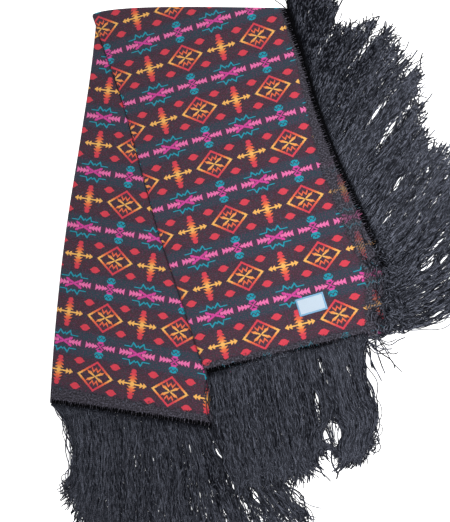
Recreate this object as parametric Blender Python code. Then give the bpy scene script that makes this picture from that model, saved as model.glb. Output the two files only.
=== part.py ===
"""Fringed wool shawl, folded in four along its length, doubled over and laid flat.

The shawl is one square of patterned wool with a long fringe knotted along every side. It is folded
twice along its length into a strip of four layers, and the strip is doubled over a fold at the far
end. The front half lies on the back half and is swung to the right, so both show. Each half is a
wall of cloth, its visible layer, which rolls over the folds and covers one solid that stands for
the three layers under it. The fringe is made as locks, whose roots join in a strip along the hem.

Run it with blender --background --python part.py, or from the text editor. Sizes here are in
millimetres and are turned into metres when a mesh is made. X is to the right, Y is away, Z is up.
"""

from collections import namedtuple

import bmesh
import bpy
import numpy as np

TO_METRES = 0.001
GAP = 0.3  # between pieces that touch

# The cloth and its stack of layers.
CLOTH = 1.5  # one visible layer
HIDDEN = 4.8  # the layers under it
HIDDEN_LAYERS = 3
STACK = HIDDEN + GAP + CLOTH  # one half of the folded shawl
SIDE_FOLD = 5.0  # how far in from its edge a side fold begins to roll
TOP_FOLD = 7.0  # the same at the far fold, which goes round both halves
SIDE_FOLD_TURN = 130  # degrees that the outer layer turns round a side fold
TOP_FOLD_TURN = 148
BACK_INSET = 7.0  # the back half's far edge, inside the far fold
HIDDEN_INSET = 1.0  # the hidden solid's far edge inside the cloth that folds round it, and
BACK_HIDDEN_INSET = 4.0  # the back half's inside the turn of the front's
HEM_ROUND = 1.2  # how far each hidden layer's edge bulges
LAYER_EDGE = (0.06, 0.27)  # where a layer's edge is fullest, down from its top, as shares of HIDDEN
BETWEEN_LAYERS = 0.1  # of HEM_ROUND, in the groove between two layers
FOLD_ROUND = 2.2  # the same on the hidden solid's folded edges

# The front half bridges the back half's hidden edge and comes down to the floor beyond it.
BRIDGE = 40.0
SLOPE = 60.0

# The middle of the finished part, in the coordinates of the tables below.
MIDDLE = (110.4, 87.6)

# One row for each section across a half, from the far fold to the near hem.
Section = namedtuple("Section", "fold_x fold_y hem_x hem_y")
FRONT = (
    Section(-347, 626, 140, 621),
    Section(-306, 518, 180, 497),
    Section(-258, 390, 216, 372),
    Section(-208, 226, 262, 240),
    Section(-160, 68, 322, 106),
    Section(-100, -98, 370, -22),
    Section(-41, -262, 380, -160),
)
BACK = (
    Section(-337, 619, 134, 617),
    Section(-347, 480, 118, 470),
    Section(-366, 310, 98, 290),
    Section(-388, 130, 76, 95),
    Section(-402, -20, 58, -60),
    Section(-411, -180, 40, -225),
    Section(-415, -340, 22, -388),
)
FAR_BOW = 16.0  # the far fold bows away from a straight line by this much

# Soft swellings in the lie of the cloth, each a smooth mound: its centre, half length, half width,
# the direction of its length in degrees from X, and its height.
Mound = namedtuple("Mound", "x y length width turn height")
FRONT_MOUNDS = (
    Mound(-110, 330, 330, 90, -74, 2.2),
    Mound(60, -40, 260, 110, -78, 1.8),
    Mound(-90, 600, 330, 75, -2, 2.6),
    Mound(200, 330, 260, 90, -72, 1.4),
    Mound(-40, -170, 180, 70, -68, 1.6),
    Mound(250, -70, 180, 90, 16, 1.5),
)
BACK_MOUNDS = (
    Mound(-325, -60, 230, 80, -97, 1.4),
    Mound(-230, -290, 190, 60, -8, 1.3),
)

# How the fringe lies: along a hem from 0 to 1, the length of its strands and their direction
# at the root and at the tip, in degrees from X. The side hem is read from the far end, the near
# hems from the right.
Lie = namedtuple("Lie", "place length root tip")
SIDE_LIE = (
    Lie(0.00, 235, 82, 74),
    Lie(0.10, 205, 76, 68),
    Lie(0.18, 175, 70, 62),
    Lie(0.28, 225, 66, 58),
    Lie(0.40, 280, 60, 54),
    Lie(0.52, 290, 57, 51),
    Lie(0.68, 275, 56, 54),
    Lie(0.82, 280, 48, 55),
    Lie(0.92, 280, 32, 52),
    Lie(1.00, 275, 2, 48),
)
FRONT_LIE = (
    Lie(0.00, 245, -104, -92),
    Lie(0.10, 265, -78, -104),
    Lie(0.20, 282, -68, -108),
    Lie(0.36, 272, -68, -94),
    Lie(0.48, 265, -77, -78),
    Lie(0.70, 282, -80, -73),
    Lie(1.00, 275, -80, -73),
)
BACK_LIE = (
    Lie(0.00, 282, -52, -46),
    Lie(0.10, 282, -68, -60),
    Lie(0.30, 285, -82, -78),
    Lie(0.60, 285, -88, -88),
    Lie(0.84, 275, -76, -97),
    Lie(1.00, 232, -36, -124),
)
STRIP_WIDTH = 4.0  # the knotted edge that the locks hang from
STRIP_GAP = 0.5  # between the strip and the hem
LOWER_STRIP = (0.28, 0.62)  # where the lower strip lies in the height of the hidden layers
LOCK_THICKNESS = 1.6
LOCK_SHARE = 0.72  # of the room that a lock has between its neighbours
TIP_SHARE = 0.34
LOCK_STEPS = (0.12, 0.32, 0.56, 0.80, 1.0)  # along a lock
LOWER_LIFT = 1.4  # from what a lock lies on to its middle
UPPER_LIFT = 4.2
BACK_FRINGE_TOP = 5.6  # where the front half's fringe lies on the back's
BACK_FRINGE_SPREAD = 0.95  # how far the back's fringe spreads right for each step towards the viewer
FALL = 70.0  # over which a strand comes down from its hem
ONTO_BACK_FRINGE = 60.0  # over which the front's fringe then comes down from the back half
OFF_BACK_FRINGE = 120.0  # and over which it comes down to the floor, beyond the back's fringe
PAST_EDGE = 10.0  # where those two begin, past the hem and past the outermost strand
LENGTH_SPREAD = 0.035
FRINGE_SEED = 7

# The label, sewn to the front half near its near right corner.
LABEL_LENGTH = 66.0
LABEL_WIDTH = 41.0
LABEL_THICKNESS = 0.8
LABEL_GAP = 0.5  # under it, over the flat cells of the panel
LABEL_CENTRE = (202.0, -101.0)
LABEL_TURN = 17.0  # degrees

WOOL_COLOUR = (0.055, 0.036, 0.046)
HIDDEN_COLOUR = (0.03, 0.024, 0.03)
FRINGE_COLOUR = (0.012, 0.013, 0.018)
LABEL_COLOUR = (0.45, 0.68, 0.86)
CLOTH_ROUGHNESS = 0.9
FRINGE_ROUGHNESS = 0.55
SHARP_ANGLE = 50  # degrees, past which an edge isn't shaded smooth

# Grid cells across and down each piece.
FRONT_CELLS = (12, 16)
BACK_CELLS = (10, 12)
FOLD_CELLS = 5
LABEL_CELLS = (4, 3)


def smooth_step(x):
    x = np.clip(x, 0, 1)
    return x * x * (3 - 2 * x)


def smooth_curve(values, where):
    """A Catmull-Rom curve through the rows of values, read at where: 0 to 1, and a little past."""
    values = np.asarray(values, float)
    padded = np.concatenate([2 * values[:1] - values[1:2], values, 2 * values[-1:] - values[-2:-1]])
    at = np.asarray(where, float) * (len(values) - 1)
    row = np.clip(np.floor(at).astype(int), 0, len(values) - 2)
    t = (at - row)[..., None]
    a, b, c, d = (padded[row + k] for k in range(4))
    return b + 0.5 * t * (c - a + t * (2 * a - 5 * b + 4 * c - d + t * (3 * b - a - 3 * c + d)))


def edges_of(sections, down):
    """The points of the side fold and of the side hem at each place down a half."""
    points = smooth_curve(sections, down)
    return points[..., :2], points[..., 2:]


def laid(sections, across, down):
    """Where a point of a half lies: straight across from fold to hem, bowed at the far fold."""
    fold, hem = edges_of(sections, down)
    point = fold + (hem - fold) * across[..., None]
    bow = FAR_BOW * np.sin(np.pi * np.sqrt(np.clip(across, 0, 1))) * (1 - np.clip(down, 0, 1)) ** 4
    return point + bow[..., None] * np.array([0.0, 1.0])


def width_at(sections, down):
    fold, hem = edges_of(sections, down)
    return np.linalg.norm(hem - fold, axis=-1)


def length_of(sections):
    steps = np.array([(s.fold_x, s.fold_y) for s in sections])
    return np.linalg.norm(np.diff(steps, axis=0), axis=1).sum()


def mounds_height(mounds, points):
    """The sum of the mounds, each the square of a cosine that ends at its outline."""
    height = np.zeros(points.shape[:-1])
    for m in mounds:
        turn = np.radians(m.turn)
        off = points - np.array([m.x, m.y])
        along = (off @ np.array([np.cos(turn), np.sin(turn)])) / m.length
        aside = (off @ np.array([-np.sin(turn), np.cos(turn)])) / m.width
        reach = np.clip(np.hypot(along, aside), 0, 1)
        height += m.height * np.cos(reach * np.pi / 2) ** 2
    return height


def beyond_back(points):
    """How far to the right of the back half's hidden edge each point lies."""
    near_first = np.array([(s.hem_y, s.hem_x) for s in BACK])[::-1]
    edge_x = np.interp(points[..., 1], near_first[:, 0], near_first[:, 1])
    return points[..., 0] - edge_x


def front_base(points):
    """The underside of the front half: on the back half, then down to the floor."""
    return (STACK + GAP) * (1 - smooth_step((beyond_back(points) - BRIDGE) / SLOPE))


def front_hidden_top(points):
    return front_base(points) + HIDDEN + mounds_height(FRONT_MOUNDS, points)


def back_base(points):
    return np.zeros(points.shape[:-1])


def back_hidden_top(points):
    return HIDDEN + mounds_height(BACK_MOUNDS, points)


def fold_steps(turn):
    """Angles from the end of a rolled edge to where it becomes flat, in radians."""
    return np.radians(np.linspace(turn, 0, FOLD_CELLS + 1)[:-1])


def panel_points(sections, cells, hidden_top, top_turn, depth):
    """The grid of a half's visible layer, depth below its outer face.

    Flat cells run to the hems. At the side fold, and at the far fold where top_turn is given, the
    cells go round an ellipse with the fold's reach across and half the stack in height.
    """
    side = fold_steps(SIDE_FOLD_TURN)
    far = fold_steps(top_turn) if top_turn else np.zeros(0)
    side_angle = np.concatenate([side, np.zeros(cells[0] + 1)])
    far_angle = np.concatenate([far, np.zeros(cells[1] + 1)])
    side_share = np.concatenate([np.zeros(len(side)), np.linspace(0, 1, cells[0] + 1)])
    far_share = np.concatenate([np.zeros(len(far)), np.linspace(0, 1, cells[1] + 1)])

    far_start = TOP_FOLD if top_turn else BACK_INSET
    length = length_of(sections)
    far_inset = far_start - (TOP_FOLD - depth) * np.sin(far_angle) + far_share * (length - far_start)
    down = (far_inset / length)[:, None] * np.ones(len(side_angle))
    width = width_at(sections, down)
    side_inset = SIDE_FOLD - (SIDE_FOLD - depth) * np.sin(side_angle) + side_share * (width - SIDE_FOLD)
    points = laid(sections, side_inset / width, down)

    full = 2 * STACK + GAP
    side_drop = (STACK / 2 - depth) * (1 - np.cos(side_angle))[None, :]
    far_drop = (full / 2 - depth) * (1 - np.cos(far_angle))[:, None]
    drop = side_drop + far_drop - side_drop * far_drop / full
    height = hidden_top(points) + GAP + CLOTH - depth - drop
    return np.dstack([points, height])


def grid_faces(rows, columns, first=0, flip=False):
    """Triangles, all split the same way, so that two grids with the same cells stay parallel."""
    index = first + np.arange(rows * columns).reshape(rows, columns)
    corners = (index[:-1, :-1], index[1:, :-1], index[1:, 1:], index[:-1, 1:])
    a, b, c, d = (corner.ravel() for corner in corners)
    triangles = np.concatenate([np.stack([a, b, c], -1), np.stack([a, c, d], -1)])
    return triangles[:, ::-1] if flip else triangles


def perimeter(rows, columns):
    """Indices round the edge of a grid, in order."""
    index = np.arange(rows * columns).reshape(rows, columns)
    return np.concatenate([index[:-1, 0], index[-1, :-1], index[:0:-1, -1], index[0, :0:-1]])


def band_faces(lower, upper):
    """Quads between two closed rings of indices."""
    return np.stack([lower, np.roll(lower, -1), np.roll(upper, -1), upper], -1)


def closed_mesh(name, points, faces, colour, roughness, smooth=True):
    """An object from points in millimetres, with its faces turned outwards and its own material."""
    centred = (np.asarray(points, float) - np.array([*MIDDLE, 0.0])) * TO_METRES
    mesh = bpy.data.meshes.new(name)
    mesh.from_pydata(centred.tolist(), [], [list(map(int, face)) for face in faces])
    shape = bmesh.new()
    shape.from_mesh(mesh)
    bmesh.ops.recalc_face_normals(shape, faces=shape.faces)
    if shape.calc_volume(signed=True) < 0:
        bmesh.ops.reverse_faces(shape, faces=shape.faces)
    shape.to_mesh(mesh)
    shape.free()
    if smooth:
        mesh.shade_smooth()
        mesh.set_sharp_from_angle(angle=np.radians(SHARP_ANGLE))
    material = bpy.data.materials.new(name)
    material.use_nodes = True
    surface = material.node_tree.nodes["Principled BSDF"]
    surface.inputs["Base Color"].default_value = (*colour, 1)
    surface.inputs["Roughness"].default_value = roughness
    mesh.materials.append(material)
    made = bpy.data.objects.new(name, mesh)
    bpy.context.collection.objects.link(made)
    return made


def wall(name, outer, inner, colour, roughness):
    """A sheet of cloth between two grids of points."""
    rows, columns = outer.shape[:2]
    count = rows * columns
    ring = perimeter(rows, columns)
    faces = [*grid_faces(rows, columns), *grid_faces(rows, columns, count, True)]
    faces += list(band_faces(ring, ring + count))
    points = np.concatenate([outer.reshape(-1, 3), inner.reshape(-1, 3)])
    return closed_mesh(name, points, faces, colour, roughness)


def ring_outward(ring):
    """The outward direction at each point of a closed ring in plan, mitred at its corners."""
    ahead = np.roll(ring, -1, axis=0) - ring
    ahead /= np.linalg.norm(ahead, axis=1, keepdims=True)
    normal = np.stack([ahead[:, 1], -ahead[:, 0]], -1)
    normal = normal + np.roll(normal, 1, axis=0)
    return normal / np.linalg.norm(normal, axis=1, keepdims=True)


def hem_profile():
    """Down the edge of the hidden layers at a hem: each ring's height and how far it bulges."""
    level, reach = [], []
    for layer in range(HIDDEN_LAYERS):
        top = 1 - layer / HIDDEN_LAYERS
        level += [top - step for step in LAYER_EDGE]
        reach += [1.0] * len(LAYER_EDGE)
        if layer < HIDDEN_LAYERS - 1:
            level.append(top - 1 / HIDDEN_LAYERS)
            reach.append(BETWEEN_LAYERS)
    return level, reach


def hidden_layers(name, sections, cells, base, hidden_top, far_inset, colour):
    """The solid for the layers under a panel: rounded at the folds, three edges at the hems."""
    down_edge = np.linspace(far_inset, length_of(sections) - HEM_ROUND, cells[1] + 1)
    down = (down_edge / length_of(sections))[:, None] * np.ones(cells[0] + 1)
    width = width_at(sections, down)
    inset = SIDE_FOLD + np.linspace(0, 1, cells[0] + 1) * (width - SIDE_FOLD - HEM_ROUND)
    points = laid(sections, inset / width, down)
    rows, columns = points.shape[:2]
    count = rows * columns
    ring = perimeter(rows, columns)
    plan = points.reshape(-1, 2)
    low, high = base(plan), hidden_top(plan)
    outward = ring_outward(plan[ring])

    is_hem = np.zeros((rows, columns), bool)
    is_hem[-1, 1:] = True
    is_hem[1:, -1] = True
    is_hem = is_hem.reshape(-1)[ring]
    level, reach = hem_profile()
    turn = np.linspace(0, np.pi, len(level) + 2)[1:-1]

    stack = [np.column_stack([plan, high]), np.column_stack([plan, low])]
    rings = [ring]
    for k, (share, bulge) in enumerate(zip(level, reach)):
        out = np.where(is_hem, HEM_ROUND * bulge, FOLD_ROUND * np.sin(turn[k]))
        share = np.where(is_hem, share, (1 + np.cos(turn[k])) / 2)
        spot = plan[ring] + outward * out[:, None]
        stack.append(np.column_stack([spot, low[ring] + (high - low)[ring] * share]))
        rings.append(2 * count + k * len(ring) + np.arange(len(ring)))
    rings.append(ring + count)
    faces = [*grid_faces(rows, columns), *grid_faces(rows, columns, count, True)]
    for upper, lower in zip(rings, rings[1:]):
        faces += list(band_faces(upper, lower))
    return closed_mesh(name, np.concatenate(stack), faces, colour, CLOTH_ROUGHNESS)


def lie_at(lie, places):
    """Length, root direction and tip direction at each place along a hem."""
    table = np.array(lie, float)
    return [np.interp(places, table[:, 0], table[:, k]) for k in (1, 2, 3)]


def strand_paths(roots, lie, places, steps, turn):
    """Paths whose direction changes evenly from root to tip, as places by steps by X and Y."""
    length, root, tip = lie_at(lie, places)
    share = np.linspace(0, 1 + LENGTH_SPREAD, 61)
    direction = np.radians(root[:, None] + turn + (tip - root)[:, None] * share)
    stride = np.stack([np.cos(direction), np.sin(direction)], -1) * length[:, None, None] * share[1]
    run = np.cumsum((stride[:, 1:] + stride[:, :-1]) / 2, axis=1)
    run = np.concatenate([np.zeros_like(stride[:, :1]), run], axis=1)
    path = [
        np.column_stack([np.interp(steps[i], share, run[i, :, axis]) for axis in range(2)])
        for i in range(len(places))
    ]
    return roots[:, None] + np.array(path)


def floor_only(points):
    return np.zeros(points.shape[:-1])


def over_back_fringe(points):
    """What the front half's near fringe lies on: the back half, then its fringe, then the floor."""
    past_hem = BACK[-1].hem_y - points[..., 1]
    on_back = (STACK + GAP) * (1 - smooth_step((past_hem - FALL - PAST_EDGE) / ONTO_BACK_FRINGE))
    high = np.maximum(on_back, BACK_FRINGE_TOP)
    right_edge = beyond_back(points) - BACK_FRINGE_SPREAD * np.clip(past_hem, 0, None)
    return high * (1 - smooth_step((right_edge - PAST_EDGE) / OFF_BACK_FRINGE))


def hem_at(hem, places):
    """Points, outward directions and heights at places from 0 to 1 along a hem.

    A hem is a row of (X, Y, bottom, top) where its panel's cells meet it, so that what is read
    between them lies on the same straight edges as the panel.
    """
    hem = np.asarray(hem)
    steps = np.diff(hem[:, :2], axis=0)
    size = np.linalg.norm(steps, axis=1)
    reached = np.concatenate([[0], np.cumsum(size)])
    distance = np.asarray(places) * reached[-1]
    piece = np.clip(np.searchsorted(reached, distance, side="right") - 1, 0, len(size) - 1)
    share = (distance - reached[piece]) / size[piece]
    point = hem[piece] + (hem[piece + 1] - hem[piece]) * share[:, None]
    ahead = steps[piece] / size[piece][:, None]
    return point[:, :2], np.stack([-ahead[:, 1], ahead[:, 0]], -1), point[:, 2], point[:, 3]


def strip_mesh(hem, stations):
    """The bar beside a hem: four points at each station, and faces that leave a hole for each root."""
    point, outward, low, high = hem_at(hem, stations)
    inner, outer = point + outward * STRIP_GAP, point + outward * (STRIP_GAP + STRIP_WIDTH)
    sides = ((inner, low), (inner, high), (outer, high), (outer, low))
    corners = np.stack([np.column_stack(side) for side in sides], 1)
    index = np.arange(len(stations) * 4).reshape(-1, 4)
    faces = [index[0][::-1], index[-1]]
    for station, (here, there) in enumerate(zip(index[:-1], index[1:])):
        is_root = station % 2 == 0
        for a, b in ((0, 1), (1, 2), (3, 0)) + (() if is_root else ((2, 3),)):
            faces.append((here[a], here[b], there[b], there[a]))
    return corners.reshape(-1, 3), index, faces


def lock_rings(hem, around, on_hem, lie, ground, lift, turn, seed):
    """Four points round each lock at each of its steps.

    A lock takes a fixed share of the room between its neighbours' paths, so that it spreads and
    narrows as they do, and it comes down from the hem to what it lies on.
    """
    count = len(around)
    longer = 1 + LENGTH_SPREAD * np.random.default_rng(seed).uniform(-1, 1, (count, 1))
    steps = np.array(LOCK_STEPS) * np.ones((count, 1))
    point, outward, low, high = hem_at(hem, on_hem)
    roots = point + outward * (STRIP_GAP + STRIP_WIDTH)
    even = strand_paths(roots, lie, around, steps, turn)
    middle = strand_paths(roots, lie, around, steps * longer, turn)[1:-1]
    room = (even[2:] - even[:-2]) / 2

    steps = steps[1:-1]
    narrowing = 1 - (1 - TIP_SHARE) * np.clip(2 * steps - 1, 0, 1) ** 2
    half = room * narrowing[..., None] * LOCK_SHARE / 2
    falling = 1 - smooth_step(steps * lie_at(lie, around[1:-1])[0][:, None] / FALL)
    resting = ground(middle) + lift
    level = resting + ((low + high)[1:-1, None] / 2 - resting) * falling
    thick = narrowing * LOCK_THICKNESS / 2
    sides = ((-1, -1), (-1, 1), (1, 1), (1, -1))
    return np.stack([np.dstack([middle + a * half, level + b * thick]) for a, b in sides], 2)


def fringe(name, hem, span, count, lie, ground, lift, turn, seed):
    """Locks hanging from one strip along a hem: the strip's outer side is divided into roots."""
    pitch = 1 / (count - 1)
    around = np.linspace(-pitch, 1 + pitch, count + 2)
    on_hem = span[0] + (span[1] - span[0]) * around
    half_root = (span[1] - span[0]) * pitch * LOCK_SHARE / 2
    stations = (on_hem[1:-1, None] + half_root * np.array([-1, 1])).reshape(-1)
    strip, index, faces = strip_mesh(hem, stations)
    rings = lock_rings(hem, around, on_hem, lie, ground, lift, turn, seed)
    for i in range(count):
        left, right = index[2 * i], index[2 * i + 1]
        ring = np.array([left[3], left[2], right[2], right[3]])
        for k in range(len(LOCK_STEPS)):
            further = len(strip) + (i * len(LOCK_STEPS) + k) * 4 + np.arange(4)
            faces += list(band_faces(ring, further))
            ring = further
        faces.append(ring)
    points = np.concatenate([strip, rings.reshape(-1, 3)])
    return closed_mesh(name, points, faces, FRINGE_COLOUR, FRINGE_ROUGHNESS, smooth=False)


def label():
    """A woven label whose points are the front panel's, moved out."""
    columns, rows = LABEL_CELLS
    turn = np.radians(LABEL_TURN)
    along = np.linspace(-0.5, 0.5, columns + 1) * LABEL_LENGTH
    aside = np.linspace(0.5, -0.5, rows + 1) * LABEL_WIDTH
    along, aside = np.meshgrid(along, aside)
    x = LABEL_CENTRE[0] + along * np.cos(turn) - aside * np.sin(turn)
    y = LABEL_CENTRE[1] + along * np.sin(turn) + aside * np.cos(turn)
    plan = np.dstack([x, y])
    under = front_hidden_top(plan) + GAP + CLOTH + LABEL_GAP
    inner = np.dstack([plan, under])
    outer = np.dstack([plan, under + LABEL_THICKNESS])
    return wall("label", outer, inner, LABEL_COLOUR, FRINGE_ROUGHNESS)


def half(name, sections, cells, base, hidden_top, top_turn, inset):
    """A visible panel and the solid under it. Returns the panel's outer points."""
    outer, inner = (panel_points(sections, cells, hidden_top, top_turn, depth) for depth in (0, CLOTH))
    wall(name + "_panel", outer, inner, WOOL_COLOUR, CLOTH_ROUGHNESS)
    far_inset = TOP_FOLD + inset
    hidden_layers(name + "_hidden_layers", sections, cells, base, hidden_top, far_inset, HIDDEN_COLOUR)
    return outer


def hems_of(edge, base, hidden_top):
    """The upper and lower hems, as rows of (X, Y, bottom, top), at the points of a panel's edge."""
    plan = edge[:, :2]
    bottom, top = base(plan), hidden_top(plan)
    upper = np.column_stack([plan, top + GAP, top + GAP + CLOTH])
    lower = np.column_stack([plan, *(bottom + share * HIDDEN for share in LOWER_STRIP)])
    return upper, lower


def fringes(front, back):
    """Two layers of locks on each hem that shows. A hem is read so that its left is outwards."""
    flat = slice(FOLD_CELLS, None)
    on_front = (front_base, front_hidden_top)
    side = hems_of(front[flat, -1], *on_front)
    near = hems_of(front[-1, flat][::-1], *on_front)
    back_near = hems_of(back[-1, flat][::-1], back_base, back_hidden_top)
    for seed, (name, hem, span, count, lie, ground, lift, turn) in enumerate((
        ("side_fringe_upper", side[0], (0.015, 0.985), 50, SIDE_LIE, floor_only, UPPER_LIFT, 0),
        ("side_fringe_lower", side[1], (0.034, 0.975), 46, SIDE_LIE, floor_only, LOWER_LIFT, -3),
        ("front_fringe_upper", near[0], (0.040, 0.975), 26, FRONT_LIE, over_back_fringe, UPPER_LIFT, 0),
        ("front_fringe_lower", near[1], (0.050, 0.965), 22, FRONT_LIE, over_back_fringe, LOWER_LIFT, -3),
        ("back_fringe_upper", back_near[0], (0.020, 0.975), 28, BACK_LIE, floor_only, UPPER_LIFT, 0),
        ("back_fringe_lower", back_near[1], (0.030, 0.965), 24, BACK_LIE, floor_only, LOWER_LIFT, -3),
    )):
        fringe(name, hem, span, count, lie, ground, lift, turn, FRINGE_SEED + seed)


for old in list(bpy.data.objects):
    bpy.data.objects.remove(old)
back_points = half("back", BACK, BACK_CELLS, back_base, back_hidden_top, 0, BACK_HIDDEN_INSET)
front_points = half("front", FRONT, FRONT_CELLS, front_base, front_hidden_top, TOP_FOLD_TURN, HIDDEN_INSET)
label()
fringes(front_points, back_points)
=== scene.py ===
from collections import namedtuple
from functools import partialmethod

import bpy
import numpy as np
from mathutils import Matrix, Vector


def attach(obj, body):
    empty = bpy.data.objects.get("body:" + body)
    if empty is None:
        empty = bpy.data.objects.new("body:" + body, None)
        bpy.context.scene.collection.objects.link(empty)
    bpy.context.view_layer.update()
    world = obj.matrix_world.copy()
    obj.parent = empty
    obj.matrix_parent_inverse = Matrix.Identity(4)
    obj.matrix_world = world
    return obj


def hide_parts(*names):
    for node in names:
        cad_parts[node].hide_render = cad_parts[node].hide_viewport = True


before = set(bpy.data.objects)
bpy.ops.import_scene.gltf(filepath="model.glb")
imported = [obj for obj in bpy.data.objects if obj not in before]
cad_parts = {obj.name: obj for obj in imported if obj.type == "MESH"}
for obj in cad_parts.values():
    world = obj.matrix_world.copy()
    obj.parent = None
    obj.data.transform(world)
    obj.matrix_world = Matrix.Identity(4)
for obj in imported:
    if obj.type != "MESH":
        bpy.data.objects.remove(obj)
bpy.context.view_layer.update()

# Fringed wool shawl, folded to a strip of four layers, doubled over a far fold and laid flat.
# Tables are in millimetres on the surface that it lies on; toFrame() moves them into the frame.
toMetres = 0.001
middle = (110.4, 87.6)  # of the finished shawl, in the tables' coordinates
gap = 0.3


# Camera and light

view = {
    "eye": (59.4, -246.1, 1402.9),  # millimetres in the frame
    "target": (-110.4, -87.6, 0.0),
    "lens": 41.38,
}
studio = {
    "floorColour": (0.93, 0.93, 0.93),
    "floorGlow": 0.90,
    "roomLight": 0.22,
    "keyPower": 54.0,
    "keyPlace": (1.2, 0.7, 2.1),
    "keySize": 0.8,
    "fillPower": 10.0,
    "fillPlace": (0.2, -0.5, 1.2),
    "fillSize": 0.9,
}


def lookAlong(eye, target):
    # The camera looks from eye to target, and its picture's sides stay parallel to the X axis.
    forward = (Vector(target) - Vector(eye)).normalized()
    right = (Vector((1, 0, 0)) - forward.x * forward).normalized()
    up = right.cross(forward)
    turned = Matrix((right, up, -forward)).transposed().to_4x4()
    return Matrix.Translation(Vector(eye)) @ turned


def addCamera():
    lens = bpy.data.cameras.new("camera")
    lens.lens = view["lens"]
    camera = bpy.data.objects.new("camera", lens)
    eye, target = (Vector(view[key]) * toMetres for key in ("eye", "target"))
    camera.matrix_world = lookAlong(eye, target)
    bpy.context.collection.objects.link(camera)
    bpy.context.scene.camera = camera


def addAreaLight(name, place, size, power):
    light = bpy.data.lights.new(name, "AREA")
    light.shape = "DISK"
    light.size = size
    light.energy = power
    lamp = bpy.data.objects.new(name, light)
    lamp.matrix_world = lookAlong(place, (0, 0, 0))
    bpy.context.collection.objects.link(lamp)


def newMaterial(name, roughness, specular=0.5, sheen=0.0):
    # A Principled material, with the numbers that are the same all over set on its own sockets.
    material = bpy.data.materials.new(name)
    material.use_nodes = True
    surface = material.node_tree.nodes["Principled BSDF"]
    surface.inputs["Roughness"].default_value = roughness
    surface.inputs["Specular IOR Level"].default_value = specular
    surface.inputs["Sheen Weight"].default_value = sheen
    return material, material.node_tree, surface


def addFloor():
    bpy.ops.mesh.primitive_plane_add(size=12)
    floor = bpy.context.object
    floor.name = "floor"
    material, _, surface = newMaterial("paleFloor", 0.9)
    surface.inputs["Base Color"].default_value = (*studio["floorColour"], 1)
    surface.inputs["Emission Color"].default_value = (1, 1, 1, 1)
    surface.inputs["Emission Strength"].default_value = studio["floorGlow"]
    floor.data.materials.append(material)


def addStudio():
    addCamera()
    addFloor()
    addAreaLight("keyLight", studio["keyPlace"], studio["keySize"], studio["keyPower"])
    addAreaLight("fillLight", studio["fillPlace"], studio["fillSize"], studio["fillPower"])
    world = bpy.data.worlds.new("room")
    world.use_nodes = True
    world.node_tree.nodes["Background"].inputs["Color"].default_value = (1, 1, 1, 1)
    world.node_tree.nodes["Background"].inputs["Strength"].default_value = studio["roomLight"]
    bpy.context.scene.world = world
    bpy.context.scene.view_settings.view_transform = "Standard"


# Shader trees

class Signal:
    # A value in a shader tree. Sums, products and comparisons add the Math nodes that work them out;
    # & and | join masks.
    def __init__(self, socket):
        self.socket = socket
        self.tree = socket.id_data

    def worked(self, operation, *others):
        return signal("Math", enumerate((self, *others)), operation=operation)

    __add__ = partialmethod(worked, "ADD")
    __sub__ = partialmethod(worked, "SUBTRACT")
    __mul__ = partialmethod(worked, "MULTIPLY")
    __and__ = partialmethod(worked, "MULTIPLY")
    __or__ = partialmethod(worked, "MAXIMUM")
    below = partialmethod(worked, "LESS_THAN")
    above = partialmethod(worked, "GREATER_THAN")
    size = partialmethod(worked, "ABSOLUTE")
    wave = partialmethod(worked, "SINE")

    def between(self, low, high):
        return self.above(low) & self.below(high)

    def within(self, limit):
        return self.size().below(limit)

    def teeth(self, pitch):
        # Rises from 0 to 1 over each pitch.
        return self.worked("DIVIDE", pitch).worked("FRACT")

    def ramp(self, low, high, fromValue=0.0, toValue=1.0, kind="SMOOTHSTEP"):
        values = enumerate((self, low, high, fromValue, toValue))
        return signal("MapRange", values, interpolation_type=kind)


def plug(value, socket):
    if isinstance(value, Signal):
        value.tree.links.new(value.socket, socket)
    else:
        socket.default_value = value


def addNode(kind, sockets=(), tree=None, **settings):
    # A new shader node, with values or signals for sockets that are given by number or name. It goes
    # into the tree of its signals, or the one that is given.
    sockets = dict(sockets)
    tree = tree or next(value.tree for value in sockets.values() if isinstance(value, Signal))
    node = tree.nodes.new("ShaderNode" + kind)
    for key, value in settings.items():
        setattr(node, key, value)
    for socket, value in sockets.items():
        plug(value, node.inputs[socket])
    return node


def signal(kind, sockets=(), output=0, **settings):
    return Signal(addNode(kind, sockets, **settings).outputs[output])


def newGroup(name, inputs, outputs):
    # A node group with named sockets, whose outputs are numbers. Returns its inputs as signals, and the
    # sockets that its outputs go into.
    group = bpy.data.node_groups.new(name, "ShaderNodeTree")
    for label, kind in inputs.items():
        group.interface.new_socket(label, in_out="INPUT", socket_type="NodeSocket" + kind)
    for label in outputs:
        group.interface.new_socket(label, in_out="OUTPUT", socket_type="NodeSocketFloat")
    entry, leaving = (group.nodes.new("NodeGroup" + side) for side in ("Input", "Output"))
    return [Signal(entry.outputs[label]) for label in inputs], [leaving.inputs[label] for label in outputs]


def useGroup(group, **values):
    return [Signal(socket) for socket in addNode("Group", values, node_tree=group).outputs]


def apart(vector):
    return [Signal(socket) for socket in addNode("SeparateXYZ", {0: vector}).outputs]


def together(*parts):
    return signal("CombineXYZ", enumerate(parts))


def noise(vector, scale, detail=2.0, roughness=0.5):
    values = {"Vector": vector, "Scale": scale, "Detail": detail, "Roughness": roughness}
    return signal("TexNoise", values)


def speck(vector):
    # One random number for each whole-numbered place.
    return signal("TexWhiteNoise", {"Vector": vector})


def colourRamp(value, stops):
    node = addNode("ValToRGB", {0: value})
    ramp = node.color_ramp
    while len(ramp.elements) < len(stops):
        ramp.elements.new(1.0)
    for element, (place, colour) in zip(ramp.elements, stops):
        element.position = place
        element.color = (*colour, 1)
    return Signal(node.outputs[0])


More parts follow.
